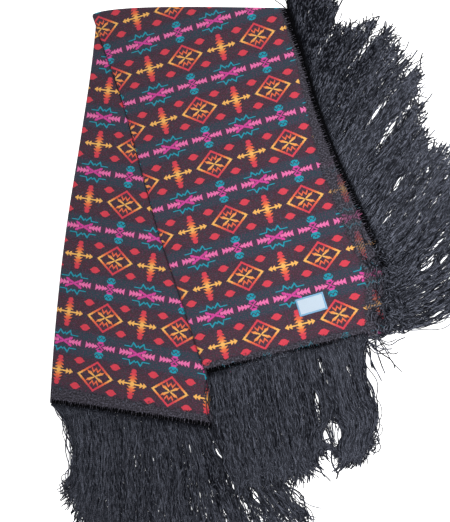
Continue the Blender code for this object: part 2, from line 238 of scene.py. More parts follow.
def mixed(share, first, second, blend="MIX"):
    first, second = ((*value, 1) if isinstance(value, tuple) else value for value in (first, second))
    values = {0: share, 6: first, 7: second}
    return signal("Mix", values, output=2, data_type="RGBA", blend_type=blend)


def painted(surface, colour, height, strength, distance):
    # Gives a surface its colour, and bumps from a height.
    bumps = {"Strength": strength, "Distance": distance, "Height": height}
    plug(colour, surface.inputs["Base Color"])
    plug(signal("Bump", bumps), surface.inputs["Normal"])


def placeOn(tree):
    # The piece's own UV map, as a vector.
    return signal("UVMap", tree=tree)


def attribute(tree, name):
    return signal("Attribute", output="Fac", tree=tree, attribute_name=name)


# Meshes

def toFrame(points):
    return (np.asarray(points, float) - np.array([*middle, 0.0])) * toMetres


def addPiece(name, points, quads, material, uv, triangles=(), floats=None):
    # A mesh object from points in table millimetres. uv is a row for each point, floats a number each.
    quads = np.asarray(quads, np.int32).reshape(-1, 4)
    triangles = np.asarray(triangles, np.int32).reshape(-1, 3)
    corners = np.concatenate([quads.ravel(), triangles.ravel()])
    sizes = np.concatenate([np.full(len(quads), 4), np.full(len(triangles), 3)])
    mesh = bpy.data.meshes.new(name)
    mesh.vertices.add(len(points))
    mesh.vertices.foreach_set("co", toFrame(points).astype(np.float32).ravel())
    mesh.loops.add(len(corners))
    mesh.loops.foreach_set("vertex_index", corners)
    mesh.polygons.add(len(sizes))
    starts = np.concatenate([[0], np.cumsum(sizes)[:-1]])
    mesh.polygons.foreach_set("loop_start", starts.astype(np.int32))
    mesh.polygons.foreach_set("use_smooth", np.ones(len(sizes), bool))
    mesh.update(calc_edges=True)
    layer = mesh.uv_layers.new(name="place")
    layer.data.foreach_set("uv", np.asarray(uv, np.float32)[corners].ravel())
    for label, values in (floats or {}).items():
        layer = mesh.attributes.new(label, "FLOAT", "POINT")
        layer.data.foreach_set("value", np.asarray(values, np.float32).ravel())
    mesh.materials.append(material)
    mesh.validate()
    piece = bpy.data.objects.new(name, mesh)
    bpy.context.collection.objects.link(piece)
    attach(piece, "root")
    return piece


def gridQuads(rows, columns, first=0, flip=False):
    index = first + np.arange(rows * columns).reshape(rows, columns)
    quads = np.stack([index[:-1, :-1], index[1:, :-1], index[1:, 1:], index[:-1, 1:]], -1).reshape(-1, 4)
    return quads[:, ::-1] if flip else quads


def rimOf(rows, columns):
    index = np.arange(rows * columns).reshape(rows, columns)
    return np.concatenate([index[:-1, 0], index[-1, :-1], index[:0:-1, -1], index[0, :0:-1]])


def bandQuads(lower, upper):
    return np.stack([lower, np.roll(lower, -1), np.roll(upper, -1), upper], -1)


def addSlab(name, outer, inner, material, uv, **floats):
    # A thin sheet between two grids of points, closed round its rim.
    rows, columns = outer.shape[:2]
    count = rows * columns
    rim = rimOf(rows, columns)
    quads = np.concatenate([
        gridQuads(rows, columns),
        gridQuads(rows, columns, count, True),
        bandQuads(rim, rim + count)[:, ::-1],
    ])
    return addPiece(
        name, np.concatenate([outer.reshape(-1, 3), inner.reshape(-1, 3)]), quads, material,
        np.tile(uv.reshape(-1, 2), (2, 1)),
        floats={label: np.tile(values.ravel(), 2) for label, values in floats.items()},
    )


def addTubes(name, points, material, uv, tones, lit):
    # Tubes with a cap at each end. points are tubes by rings by points round each ring; tones is for
    # the tubes, and lit for their rings.
    count, rings, sides = points.shape[:3]
    index = np.arange(count * rings * sides).reshape(count, rings, sides)
    here, there = index[:, :-1], index[:, 1:]
    quads = np.stack([here, np.roll(here, -1, 2), np.roll(there, -1, 2), there], -1)
    fans = [
        np.stack([end[:, 0], end[:, k], end[:, k + 1]], -1)
        for end in (index[:, 0, ::-1], index[:, -1]) for k in range(1, sides - 1)
    ]
    lit = np.broadcast_to(lit, (count, rings)).ravel()
    floats = {"tone": np.repeat(np.broadcast_to(tones, count), rings * sides), "lit": np.repeat(lit, sides)}
    uv = np.broadcast_to(uv, (count, rings, sides, 2)).reshape(-1, 2)
    piece = addPiece(name, points.reshape(-1, 3), quads, material, uv, np.concatenate(fans), floats)
    return piece


# How the two halves lie

Section = namedtuple("Section", "foldX foldY hemX hemY")  # from the far fold to the near hem
Swell = namedtuple("Swell", "x y length width turn height")  # half length and width, degrees from X

frontHalf = {
    "sections": (
        Section(-347, 626, 140, 621), Section(-306, 518, 180, 497), Section(-258, 390, 216, 372),
        Section(-208, 226, 262, 240), Section(-160, 68, 322, 106), Section(-100, -98, 370, -22),
        Section(-41, -262, 380, -160),
    ),
    "cells": (72, 112),
    "foldCells": 12,
    "hiddenCells": (40, 64),
    "hiddenFrom": 8.0,  # in from the far fold, where the hidden layers begin
    "topFold": 7.0,
    "topTurn": 148,
    "swells": (
        Swell(-110, 330, 330, 90, -74, 2.2), Swell(60, -40, 260, 110, -78, 1.8),
        Swell(-90, 600, 330, 75, -2, 2.6), Swell(200, 330, 260, 90, -72, 1.4),
        Swell(-40, -170, 180, 70, -68, 1.6), Swell(250, -70, 180, 90, 16, 1.5),
    ),
    # The creases that the solids leave out.
    "creases": (
        Swell(-215, 560, 120, 22, -24, 1.1), Swell(20, 590, 150, 18, 6, 0.9),
        Swell(-40, 455, 190, 26, 12, -0.8), Swell(95, 250, 240, 20, -70, 0.9),
        Swell(150, 60, 210, 24, -64, -0.9), Swell(20, 120, 150, 17, -82, 0.7),
        Swell(-95, 60, 160, 20, -70, 0.8), Swell(190, -100, 150, 22, 14, 0.9),
        Swell(60, -190, 120, 18, 20, 0.8), Swell(310, 20, 120, 16, -72, 0.9),
    ),
    "origin": (-280.7, 452.7),  # the middle of one lozenge
    "alongRow": (177.1, 48.2),  # from a lozenge to the next one in its row
    "downColumn": (38.3, -134.5),
}
backHalf = {
    "sections": (
        Section(-337, 619, 134, 617), Section(-347, 480, 118, 470), Section(-366, 310, 98, 290),
        Section(-388, 130, 76, 95), Section(-402, -20, 58, -60), Section(-411, -180, 40, -225),
        Section(-415, -340, 22, -388),
    ),
    "cells": (54, 96),
    "foldCells": 12,
    "hiddenCells": (30, 50),
    "hiddenFrom": 11.0,
    "topFold": 7.0,
    "topTurn": 0,
    "swells": (Swell(-325, -60, 230, 80, -97, 1.4), Swell(-230, -290, 190, 60, -8, 1.3)),
    "creases": (
        Swell(-360, 120, 130, 18, -100, 0.7), Swell(-300, -190, 160, 20, -84, -0.8),
        Swell(-180, -250, 130, 22, -20, 0.9), Swell(-360, -300, 90, 20, 8, 0.8),
    ),
    "origin": (-247.0, 137.1),
    "alongRow": (180.9, -30.3),
    "downColumn": (-19.4, -137.7),
}
layers = {
    "cloth": 1.5,
    "hidden": 4.8,
    "hiddenCount": 3,
    "creaseRoom": 0.8,  # keeps the creases above the hidden layers
    "sideFold": 5.0,  # where a side fold begins to roll, in from its edge
    "sideTurn": 130,
    "hemRound": 1.2,
    "foldRound": 2.2,
    "bridge": 40.0,  # the front half's way down from the back half to the floor
    "slope": 60.0,
    "farBow": 16.0,
}
stackHeight = layers["hidden"] + gap + layers["cloth"]


def unit(vectors):
    return vectors / (np.linalg.norm(vectors, axis=-1, keepdims=True) + 1e-9)


def turnedRight(vectors):
    # Directions in the plan, a quarter turn clockwise.
    return np.stack([vectors[..., 1], -vectors[..., 0]], -1)


def axesAt(degrees):
    # The directions along and to the left of a line at an angle from X.
    turn = np.radians(degrees)
    along = np.array([np.cos(turn), np.sin(turn)])
    return along, -turnedRight(along)


def smoothStep(x):
    x = np.clip(x, 0, 1)
    return x * x * (3 - 2 * x)


def smoothCurve(values, where):
    # A Catmull-Rom curve through the rows of values, read at where: 0 to 1, and a little past.
    values = np.asarray(values, float)
    padded = np.concatenate([2 * values[:1] - values[1:2], values, 2 * values[-1:] - values[-2:-1]])
    at = np.asarray(where, float) * (len(values) - 1)
    row = np.clip(np.floor(at).astype(int), 0, len(values) - 2)
    t = (at - row)[..., None]
    a, b, c, d = (padded[row + k] for k in range(4))
    return b + 0.5 * t * (c - a + t * (2 * a - 5 * b + 4 * c - d + t * (3 * b - a - 3 * c + d)))


def laid(half, inset, downInset):
    # A point inset from the side fold and from the far fold, in millimetres: straight across from
    # the side fold to the hem, with the far fold bowed away.
    down = downInset / lengthOf(half)
    points = smoothCurve(half["sections"], down)
    fold, hem = points[..., :2], points[..., 2:]
    across = inset / np.linalg.norm(hem - fold, axis=-1)
    bow = np.sin(np.pi * np.sqrt(np.clip(across, 0, 1))) * (1 - np.clip(down, 0, 1)) ** 4
    lift = layers["farBow"] * bow[..., None] * np.array([0.0, 1.0])
    return fold + (hem - fold) * across[..., None] + lift


def widthAt(half, downInset):
    points = smoothCurve(half["sections"], downInset / lengthOf(half))
    return np.linalg.norm(points[..., 2:] - points[..., :2], axis=-1)


def lengthOf(half):
    steps = np.array([(s.foldX, s.foldY) for s in half["sections"]])
    return np.linalg.norm(np.diff(steps, axis=0), axis=1).sum()


def swellHeight(swells, points):
    # The sum of smooth mounds, each the square of a cosine that ends at its outline.
    height = np.zeros(points.shape[:-1])
    for s in swells:
        along, left = axesAt(s.turn)
        off = points - np.array([s.x, s.y])
        reach = np.clip(np.hypot(off @ along / s.length, off @ left / s.width), 0, 1)
        height += s.height * np.cos(reach * np.pi / 2) ** 2
    return height


def beyondBack(points):
    # How far to the right of the back half's hidden edge each point lies.
    nearFirst = np.array([(s.hemY, s.hemX) for s in backHalf["sections"]])[::-1]
    return points[..., 0] - np.interp(points[..., 1], nearFirst[:, 0], nearFirst[:, 1])


def baseUnder(half, points):
    if half is backHalf:
        return np.zeros(points.shape[:-1])
    over = (beyondBack(points) - layers["bridge"]) / layers["slope"]
    return (stackHeight + gap) * (1 - smoothStep(over))


def hiddenTop(half, points):
    return baseUnder(half, points) + layers["hidden"] + swellHeight(half["swells"], points)


def panelTop(half, points):
    # The outer face of the cloth where it lies flat.
    over = gap + layers["cloth"] + layers["creaseRoom"]
    return hiddenTop(half, points) + over + swellHeight(half["creases"], points)


def foldThenFlat(turn, foldCells, cells):
    # For rows of points from a fold to a hem: their angles round the fold, and shares of the flat part.
    bent = np.radians(np.linspace(turn, 0, foldCells + 1)[:-1]) if turn else np.zeros(0)
    angle = np.concatenate([bent, np.zeros(cells + 1)])
    return angle, np.concatenate([np.zeros(len(bent)), np.linspace(0, 1, cells + 1)])


def panelGrid(half, depth):
    # The cloth's face at a depth under its outer one. Flat cells run to the hems, and at the folds the
    # cells go round an ellipse. Also gives the place of each point on the cloth, as if it were unrolled.
    sideAngle, sideShare = foldThenFlat(layers["sideTurn"], half["foldCells"], half["cells"][0])
    farAngle, farShare = foldThenFlat(half["topTurn"], half["foldCells"], half["cells"][1])
    sideFold, topFold = layers["sideFold"], half["topFold"]
    full = 2 * stackHeight + gap

    farFlat = topFold + farShare * (lengthOf(half) - topFold)
    farInset = farFlat - (topFold - depth) * np.sin(farAngle)
    downInset = farInset[:, None] * np.ones(len(sideAngle))
    sideFlat = sideFold + sideShare * (widthAt(half, downInset) - sideFold)
    sideInset = sideFlat - (sideFold - depth) * np.sin(sideAngle)
    points = laid(half, sideInset, downInset)
    unrolledFar = (farFlat - (topFold + full / 2) / 2 * farAngle)[:, None] * np.ones(len(sideAngle))
    unrolled = laid(half, sideFlat - (sideFold + stackHeight / 2) / 2 * sideAngle, unrolledFar)

    sideDrop = (stackHeight / 2 - depth) * (1 - np.cos(sideAngle))[None, :]
    farDrop = (full / 2 - depth) * (1 - np.cos(farAngle))[:, None]
    drop = sideDrop + farDrop - sideDrop * farDrop / full
    return np.dstack([points, panelTop(half, points) - depth - drop]), unrolled


def repeatsAt(half, points):
    # Where points are in the pattern: repeats along a row and down a column, from a lozenge's middle.
    lattice = np.array([half["alongRow"], half["downColumn"]])
    return (points - np.array(half["origin"])) @ np.linalg.inv(lattice)


# Wool cloth

cell = {"across": 80, "down": 60, "step": 0.5}  # the chart's units in one repeat, and one woven step
wool = {
    "repeat": (185.0, 140.0),  # millimetres
    "thread": 0.58,
    "yellow": (0.78, 0.41, 0.105),
    "orange": (0.70, 0.145, 0.052),
    "red": (0.57, 0.046, 0.072),
    "turquoise": (0.011, 0.255, 0.345),
    "pink": (0.70, 0.140, 0.345),
    "magenta": (0.54, 0.052, 0.27),
    "ground": (0.035, 0.0225, 0.032),
    "warmGround": (0.050, 0.0235, 0.030),
    "tealGround": (0.0145, 0.042, 0.057),
    "plumGround": (0.051, 0.0265, 0.053),
    "tealThread": (0.018, 0.062, 0.074),
    "plumThread": (0.122, 0.030, 0.074),
    "edge": (0.014, 0.012, 0.017),
    "edgeNap": (0.104, 0.099, 0.131),
    "hatch": 0.9,  # radians a millimetre, of the slanting stripes in which figures show through a margin
}


def weaveGroup():
    # Threads over and under each other: a product of two waves, with each thread's own tone.
    (place, thread, fuzz), (heightOut, shadeOut) = newGroup(
        "weave", {"Place": "Vector", "Thread": "Float", "Fuzz": "Float"}, ("Height", "Shade"),
    )
    x, y = (part.worked("DIVIDE", thread) for part in apart(place)[:2])
    over = (x * np.pi).wave() * (y * np.pi).wave()
    tone = speck(together(x.worked("FLOOR"), y.worked("FLOOR"), 0.0))
    rows = noise(together(x * 0.05, y, 0.0), 1.0, 1.0)
    nap = noise(place, 1.6, 3.0, 0.65)
    shade = tone.ramp(0, 1, 0.80, 1.12, "LINEAR") * rows.ramp(0.3, 0.7, 0.92, 1.08)
    plug(over * 0.5 + tone * 0.25 + nap * fuzz, heightOut)
    plug(shade * nap.ramp(0.25, 0.75, 0.86, 1.1), shadeOut)
    return place.tree


def figureGroup():
    # One repeat of the figures, charted in whole woven steps. i counts from the lozenge column and
    # j from the lozenge row; t and b count from the other column and the band row between them.
    (place,), (figureOut, magentaOut, rowOut) = newGroup(
        "figures", {"Place": "Vector"}, ("Figure", "Magenta", "Row"),
    )
    u, v, _ = apart(place)
    halfAcross, halfDown, step = cell["across"] / 2, cell["down"] / 2, cell["step"]
    i = (((u + 0.5).worked("FLOORED_MODULO", 1.0) - 0.5) * cell["across"]).size()
    j = (((v + 0.5).worked("FLOORED_MODULO", 1.0) - 0.5) * cell["down"]).size()
    i = (i + step / 2).worked("SNAP", step)
    j = (j + step / 2).worked("SNAP", step)
    t = i * -1.0 + halfAcross
    b = j * -1.0 + halfDown

    # The open lozenge, with a star of four pointed petals and a zigzag above and below it.
    reach = i + j * 1.27
    outline = reach.between(16.4, 19.6)
    offPetal = (i - j * 1.75).size()
    petals = offPetal.below(reach * 0.22 + 0.6) & offPetal.below(reach * -0.55 + 8.8)
    zigzag = (j - 8.0 + i.worked("PINGPONG", 2.2) * 1.5).within(1.15)
    zigzag = zigzag & i.below(4.6) & reach.below(15.6)
    # Solid lozenges with flat ends.
    offAcross, offDown = (i - 19.5).size(), (j - 13.0).size()
    lozenge = (offAcross * 0.8 + offDown).below(4.6) & offDown.below(3.1)
    # The tree, in tiers that widen towards its middle, and the double arrow across it.
    tier = (j * -1.0 + 15.2).teeth(3.3)
    tree = t.below(tier * 3.9 + 1.2) & t.below(j * -0.36 + 7.2) & j.below(15.0)
    shaft = j.below(0.8) & t.below(15.2)
    heart = (t * 0.7 + j).below(1.9)
    arrowheads = j.below((t * -1.0 + 15.4).teeth(3.5) * 2.6 + 0.3) & t.between(8.4, 15.4)
    # Rods of arrowheads on the band row, which point at the star or at the small cross.
    longRod = b.below((t - 5.0).teeth(3.4) * 2.5 + 0.7) & t.between(5.0, 18.6) & b.below(t * 0.40 - 1.4)
    shortRod = b.below((i - 2.4).teeth(3.3) * 2.5 + 0.7) & i.between(2.4, 15.6) & b.below(i * 0.55 - 1.2)
    # The star between two crowns, and the small cross between two discs.
    cross = (b - t * 0.46).within(t.teeth(2.2) * 0.8 + 0.75) & t.below(9.4)
    crown = (b - 7.0 - (t - 1.6).size() * 0.95).within(0.9) & t.below(5.6)
    crownSide = (t - 10.36 + b * 0.4545).within(0.7) & b.between(6.2, 11.2) & t.above(5.0)
    rim = (b - 6.6).within(0.55) & t.between(7.0, 14.8)
    smallCross = (b - i * 0.95).within(0.9) & b.below(3.4)
    smallTips = (b - 4.2).within(1.0) & i.below(3.0)
    discOff = b - 8.4
    notch = (discOff - (i - 2.2).size() * 1.1 + 0.9).size().above(0.65)
    disc = (i * i * 0.45 + discOff * discOff).below(11.0) & notch

    magenta = cross | smallCross | smallTips
    figure = outline | petals | zigzag | lozenge | tree | shaft | heart | arrowheads
    figure = figure | longRod | shortRod | crown | crownSide | rim | disc | magenta
    plug(figure, figureOut)
    plug(magenta, magentaOut)
    plug(j * (1 / halfDown), rowOut)
    return place.tree


def patternedWool(figures, weave):
    material, tree, surface = newMaterial("patternedWool", 0.82, specular=0.16, sheen=0.10)
    place = placeOn(tree)
    x, y, _ = apart(place)
    across, down = wool["repeat"]
    inMillimetres = together(x * across, y * down, 0.0)
    figure, magenta, row = useGroup(figures, Place=place)
    height, shade = useGroup(weave, Place=inMillimetres, Thread=wool["thread"], Fuzz=0.35)
    # The weft changes colour from row to row, so figures and ground take theirs from the row.
    figureColour = colourRamp(row, (
        (0.00, wool["yellow"]), (0.04, wool["yellow"]), (0.17, wool["orange"]), (0.34, wool["red"]),
        (0.60, wool["red"]), (0.605, wool["turquoise"]), (0.885, wool["turquoise"]), (0.89, wool["pink"]),
    ))
    colour = colourRamp(row, (
        (0.00, wool["ground"]), (0.30, wool["warmGround"]), (0.54, wool["ground"]),
        (0.64, wool["tealGround"]), (0.84, wool["tealGround"]), (0.93, wool["plumGround"]),
    ))
    # Threads of other colours run through the ground.
    teal = noise(together(x * 24.0, y * 60.0, 0.0), 1.0, 2.0, 0.6).ramp(0.50, 0.66, 0.0, 0.8)
    plum = noise(together(x * 50.0, y * 60.0, 5.0), 1.0, 2.0, 0.6).ramp(0.48, 0.64, 0.0, 0.85)
    colour = mixed(teal, colour, wool["tealThread"])
    colour = mixed(plum, colour, wool["plumThread"])
    colour = mixed(figure, colour, figureColour)
    colour = mixed(magenta, colour, wool["magenta"])
    # The margins by the hems are under fuzzy dark yarn, through which the figures show in places.
    fuzz = noise(inMillimetres, 0.24, 3.0, 0.8)
    seen = noise(inMillimetres, 0.06, 2.0, 0.6)
    nap = mixed(fuzz.ramp(0.44, 0.66), wool["edge"], wool["edgeNap"])
    cover = attribute(tree, "margin") * 2.4 - fuzz.ramp(0.34, 0.66) - seen.ramp(0.42, 0.62, 0.0, 0.7)
    stripes = ((x * across + y * down) * wool["hatch"]).wave()
    shows = (figure + magenta).ramp(0.0, 1.0) * (stripes + seen.ramp(0.3, 0.7, -0.6, 1.2)).ramp(-0.4, 0.5)
    covers = (shows * attribute(tree, "faint")).ramp(0.0, 1.0, 1.0, 0.64)
    colour = mixed(cover.ramp(0.0, 0.6) * covers, colour, nap)
    painted(surface, mixed(1.0, colour, shade, "MULTIPLY"), height, 0.5, 0.0003)
    return material


def plainWool(weave):
    material, tree, surface = newMaterial("plainWool", 0.9, specular=0.2, sheen=0.15)
    height, shade = useGroup(weave, Place=placeOn(tree), Thread=wool["thread"], Fuzz=0.6)
    painted(surface, mixed(1.0, wool["edge"], shade, "MULTIPLY"), height, 0.5, 0.0003)
    return material


Margin = namedtuple("Margin", "place width")  # along a hem, millimetres
margins = {
    "side": (  # from the far end
        Margin(0.00, 6), Margin(0.08, 13), Margin(0.25, 17), Margin(0.41, 27), Margin(0.56, 44),
        Margin(0.73, 56), Margin(0.85, 50), Margin(1.00, 60),
    ),
    "frontNear": (Margin(0, 20), Margin(1, 24)),  # from the fold
    "backNear": (Margin(0, 42), Margin(1, 24)),
    "soft": 0.45,  # of the width, over which a margin fades out
}


def marginOf(outer, isFront):
    # 0 in the middle of the cloth, and up to 1 at a hem, where its yarn covers it.
    rows, columns = outer.shape[:2]
    covered = np.zeros((rows, columns))
    tables = [(margins["frontNear" if isFront else "backNear"], outer[None, -1, :, :2], (1, columns))]
    if isFront:
        tables.append((margins["side"], outer[:, None, -1, :2], (rows, 1)))
    for table, edge, shape in tables:
        places, widths = np.array(table, float).T
        away = np.linalg.norm(outer[..., :2] - edge, axis=-1)
        width = np.interp(np.linspace(0, 1, max(shape)), places, widths).reshape(shape)
        covered = np.maximum(covered, 1 - smoothStep((away / width - 1) / margins["soft"] + 0.5))
    return covered


def addPanel(name, half, material):
    outer, unrolled = panelGrid(half, 0)
    inner, _ = panelGrid(half, layers["cloth"])
    # Figures show faintly through the margin beside the near half of the side hem.
    nearer = np.linspace(0, 1, len(outer))
    faint = smoothStep(nearer * 8 - 4.1) * (0.6 + 0.4 * smoothStep(nearer * 4 - 2.9)) * (half is frontHalf)
    piece = addSlab(
        name, outer, inner, material, repeatsAt(half, unrolled),
        margin=marginOf(outer, half is frontHalf), faint=faint[:, None] * np.ones(outer.shape[1]),
    )
    return piece, outer


def addHiddenLayers(name, half, material):
    # The layers under a panel: rounded at the folds, and three edges with grooves between at the hems.
    hemRound, count = layers["hemRound"], layers["hiddenCount"]
    rows, columns = half["hiddenCells"][1] + 1, half["hiddenCells"][0] + 1
    down = np.linspace(half["hiddenFrom"], lengthOf(half) - hemRound, rows)[:, None] * np.ones(columns)
    width = widthAt(half, down) - layers["sideFold"] - hemRound
    flat = laid(half, layers["sideFold"] + np.linspace(0, 1, columns) * width, down).reshape(-1, 2)
    total = rows * columns
    rim = rimOf(rows, columns)
    low, high = baseUnder(half, flat), hiddenTop(half, flat)
    outward = turnedRight(unit(np.roll(flat[rim], -1, axis=0) - flat[rim]))
    outward = unit(outward + np.roll(outward, 1, axis=0))
    isHem = np.zeros((rows, columns), bool)
    isHem[-1, 1:] = True
    isHem[1:, -1] = True
    isHem = isHem.reshape(-1)[rim]

    # Each layer's edge is half a wave in height, and the folded sides are one half circle.
    steps = np.linspace(0, 1, count * 4 + 1)[1:-1]
    rings, stack = [rim], [np.column_stack([flat, high]), np.column_stack([flat, low])]
    for k, step in enumerate(steps):
        bulge = hemRound * np.sqrt(np.abs(np.sin(np.pi * step * count)) + 0.01)
        out = np.where(isHem, bulge, layers["foldRound"] * np.sin(np.pi * step))
        drop = np.where(isHem, step, (1 - np.cos(np.pi * step)) / 2)
        spot = flat[rim] + outward * out[:, None]
        stack.append(np.column_stack([spot, high[rim] + (low - high)[rim] * drop]))
        rings.append(2 * total + k * len(rim) + np.arange(len(rim)))
    rings.append(rim + total)
    quads = [gridQuads(rows, columns), gridQuads(rows, columns, total, True)]
    quads += [bandQuads(upper, lower)[:, ::-1] for upper, lower in zip(rings, rings[1:])]
    points = np.concatenate(stack)
    return addPiece(name, points, np.concatenate(quads), material, points[:, :2] + points[:, 2:])


# Label

label = {
    "length": 66.0,
    "width": 41.0,
    "thickness": 0.8,
    "rimThickness": 0.45,  # the share of it that is left at the rim
    "rimSlope": 0.9,
    "ridge": (0.18, 2.6, 0.9),  # where the edge is turned under: height, inset and width
    "furrow": (0.22, 1.6, 0.35),  # under the stitches: depth, inset and width
    "over": 0.35,
    "centre": (202.0, -101.0),
    "turn": 17.0,
    "cells": (44, 28),
    "border": 4.0,
    "borderLine": 1.2,
    "field": (0.42, 0.51, 0.60),
    "blue": (0.150, 0.345, 0.545),
    "ribPitch": 0.44,
    "stitch": (0.40, 0.62, 0.78),
    "stitchPitch": 2.6,
    "stitchShare": 0.72,  # of the pitch that a stitch covers
    "stitchFoot": 0.35,  # above the label's underside, where a stitch goes in
    "stitchHeight": 0.42,
    "stitchRadius": 0.24,
    "stitchTwist": 0.5,
    "stitchSteps": 6,
    "stitchSides": 6,
}


def labelPoint(along, aside, above):
    # A point on the label: along and aside from its middle, above the cloth that it lies on.
    ahead, left = axesAt(label["turn"])
    plan = np.array(label["centre"]) + along[..., None] * ahead + aside[..., None] * left
    return np.concatenate([plan, (panelTop(frontHalf, plan) + above)[..., None]], -1)


def labelSatin():
    material, tree, surface = newMaterial("labelSatin", 0.45, specular=0.4, sheen=0.1)
    x, y, _ = apart(placeOn(tree))
    inside, line = [
        x.within(label["length"] / 2 - edge) & y.within(label["width"] / 2 - edge)
        for edge in (label["border"], label["border"] - label["borderLine"])
    ]
    ribs = (y * (2 * np.pi / label["ribPitch"])).wave()
    floats = noise(together(x * 0.7, y * 9.0, 0.0), 1.0, 2.0)
    colour = mixed(line, label["blue"], tuple(0.8 * c for c in label["blue"]))
    colour = mixed(inside, colour, label["field"])
    colour = mixed(1.0, colour, floats.ramp(0.3, 0.7, 0.90, 1.05), "MULTIPLY")
    painted(surface, colour, ribs * 0.5 + floats, 0.35, 0.0001)
    return material


def addLabel(twist):
    # A woven rectangle whose edge is turned under, so that it thins towards its rim.
    columns, rows = label["cells"]
    along = np.linspace(-0.5, 0.5, columns + 1) * label["length"]
    aside = np.linspace(0.5, -0.5, rows + 1) * label["width"]
    along, aside = np.meshgrid(along, aside)
    toRim = np.minimum(label["length"] / 2 - np.abs(along), label["width"] / 2 - np.abs(aside))
    atRim = label["rimThickness"]
    thick = label["thickness"] * (atRim + (1 - atRim) * smoothStep(toRim / label["rimSlope"]))
    for (height, inset, width), sign in ((label["ridge"], 1), (label["furrow"], -1)):
        thick += sign * height * np.exp(-((toRim - inset) / width) ** 2)
    outer = labelPoint(along, aside, label["over"] + thick)
    inner = labelPoint(along, aside, label["over"])
    piece = addSlab("clothLabel", outer, inner, labelSatin(), np.dstack([along, aside]))
    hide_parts("label")
    addLabelStitches(twist)


def addLabelStitches(twist):
    # Short stitches round the label, each a small arc of thread from one needle hole to the next.
    halfSize = np.array([label["length"], label["width"]]) / 2 - label["furrow"][1]
    corners = np.array([(-1, -1), (1, -1), (1, 1), (-1, 1), (-1, -1)]) * halfSize
    even = np.linspace(0, 1, label["stitchSteps"])
    paths = []
    for start, end in zip(corners, corners[1:]):
        count = round(np.linalg.norm(end - start) / label["stitchPitch"])
        middles = (np.arange(count) + 0.5) / count
        share = middles[:, None] + (even - 0.5) * label["stitchShare"] / count
        spot = start + (end - start) * share[..., None]
        rise = label["over"] + label["stitchFoot"] + label["stitchHeight"] * np.sin(np.pi * even)
        paths.append(labelPoint(spot[..., 0], spot[..., 1], rise + 0 * share))
    radius, sides = label["stitchRadius"], label["stitchSides"]
    return addStrands(
        "labelStitches", np.concatenate(paths), radius, sides, labelThread(twist),
    )


# Fringe

yarn = {
    "radius": 1.25,
    "sides": 3,
    "steps": 27,
    "closerTips": 0.6,  # draws the steps together towards a strand's tip
    "dark": (0.004, 0.0045, 0.007),
    "light": (0.210, 0.225, 0.285),
    "twistPitch": 4.6,
    "fall": 70.0,
    "knotReach": 4.5,  # from the hem to the knots
    "knotLoosens": 20.0,
    "knotSize": (3.0, 2.7, 1.6),  # outwards, across and up
    "knotCells": (5, 6),
    "knotLower": 0.1,  # than the upper fringe's strands
    "knotLowest": 2.1,
    "pierce": 7.0,  # in from the hem, where the yarn goes through the cloth
    "shadow": (8.0, 30.0),  # along a strand, from where it is black to where it is fully lit
    "darkest": 0.06,  # the light that is left where it is black
    "underFace": 0.8,  # from the cloth's face down to where the upper fringe leaves the hem
    "amongLayers": 0.45,  # the lower fringe's height among the hidden layers, from floor to top
    "thinTip": 0.85,
    "lowerThicker": 1.15,
    "cordPitch": 9.0,
    "cordRadius": 1.3,
    "cordPlies": 3,
    "plyRadius": 1.05,  # of the cord's
    "cordStep": 2.5,
    "cordSides": 5,
    "cordOut": 2.2,  # from the hem
    "cordUnder": 1.4,  # the cloth's face
    "cordTone": 0.4,
}
# How one strand differs from the next. Lengths and places are shares, and turns are degrees.
strand = {
    "longer": (-0.015, 0.035),  # mean and spread
    "longerWithin": (-0.2, 0.06),
    "shortLength": (0.55, 0.92),
    "looped": 0.45,
    "loopTurn": (220, 430),
    "loopLonger": 0.05,
    "wildLonger": 0.10,
    "wildStray": 0.8,
    "wildThicker": 0.4,
    "curl": 24,  # of a tip that isn't looped
    "curlFrom": (0.74, 0.90),
    "bend": 7,
    "crimp": 6,
    "stray": 0.07,  # the share of strands that stray, and how much more they wander
    "strayBy": 1.8,
    "wander": 4.5,  # millimetres
    "lockWidth": (0.014, 0.050),  # along the hem
    "lockPull": (0.1, 1.0),
    "lockDrift": 0.008,
    "lockLonger": (-0.04, 0.03),
    "level": 0.26,  # how far a strand winds up and down in the pile
    "levelAtHem": 0.35,  # millimetres
    "tone": 0.32,
    "thickness": (0.78, 1.18),
    "roundKnot": 0.7,  # of a knot's room, how far to each side its strands lie
}
resting = {  # how the front half's near fringe comes down off the back half
    "past": 10.0,
    "hemSlope": 60.0,
    "sideSlope": 120.0,
    "spread": 0.95,  # to the right for each millimetre past the back half's hem
    "onFringe": 5.6,
}
Lie = namedtuple("Lie", "place length root middle tip")  # place along a hem; directions in degrees from X
sideLie = (
    Lie(0.00, 235, 84, 81, 78), Lie(0.10, 205, 79, 76, 74), Lie(0.20, 185, 70, 66, 64),
    Lie(0.225, 170, 69, 65, 61), Lie(0.25, 180, 67, 63, 58), Lie(0.29, 212, 66, 62, 57),
    Lie(0.31, 262, 65, 61, 57), Lie(0.35, 292, 63, 60, 56), Lie(0.42, 298, 60, 56, 53),
    Lie(0.50, 312, 57, 55, 52), Lie(0.56, 294, 57, 54, 51), Lie(0.62, 256, 56, 55, 53),
    Lie(0.68, 244, 56, 55, 54), Lie(0.75, 274, 53, 54, 54), Lie(0.82, 280, 48, 51, 55),
    Lie(0.92, 280, 32, 42, 52), Lie(1.00, 275, 4, 24, 46),
)
frontLie = (
    Lie(0.00, 278, -158, -62, -150), Lie(0.12, 276, -128, -62, -150), Lie(0.20, 284, -80, -72, -136),
    Lie(0.34, 276, -72, -78, -110), Lie(0.44, 250, -75, -79, -84), Lie(0.52, 252, -77, -77, -76),
    Lie(0.64, 276, -79, -76, -74), Lie(1.00, 277, -80, -77, -73),
)
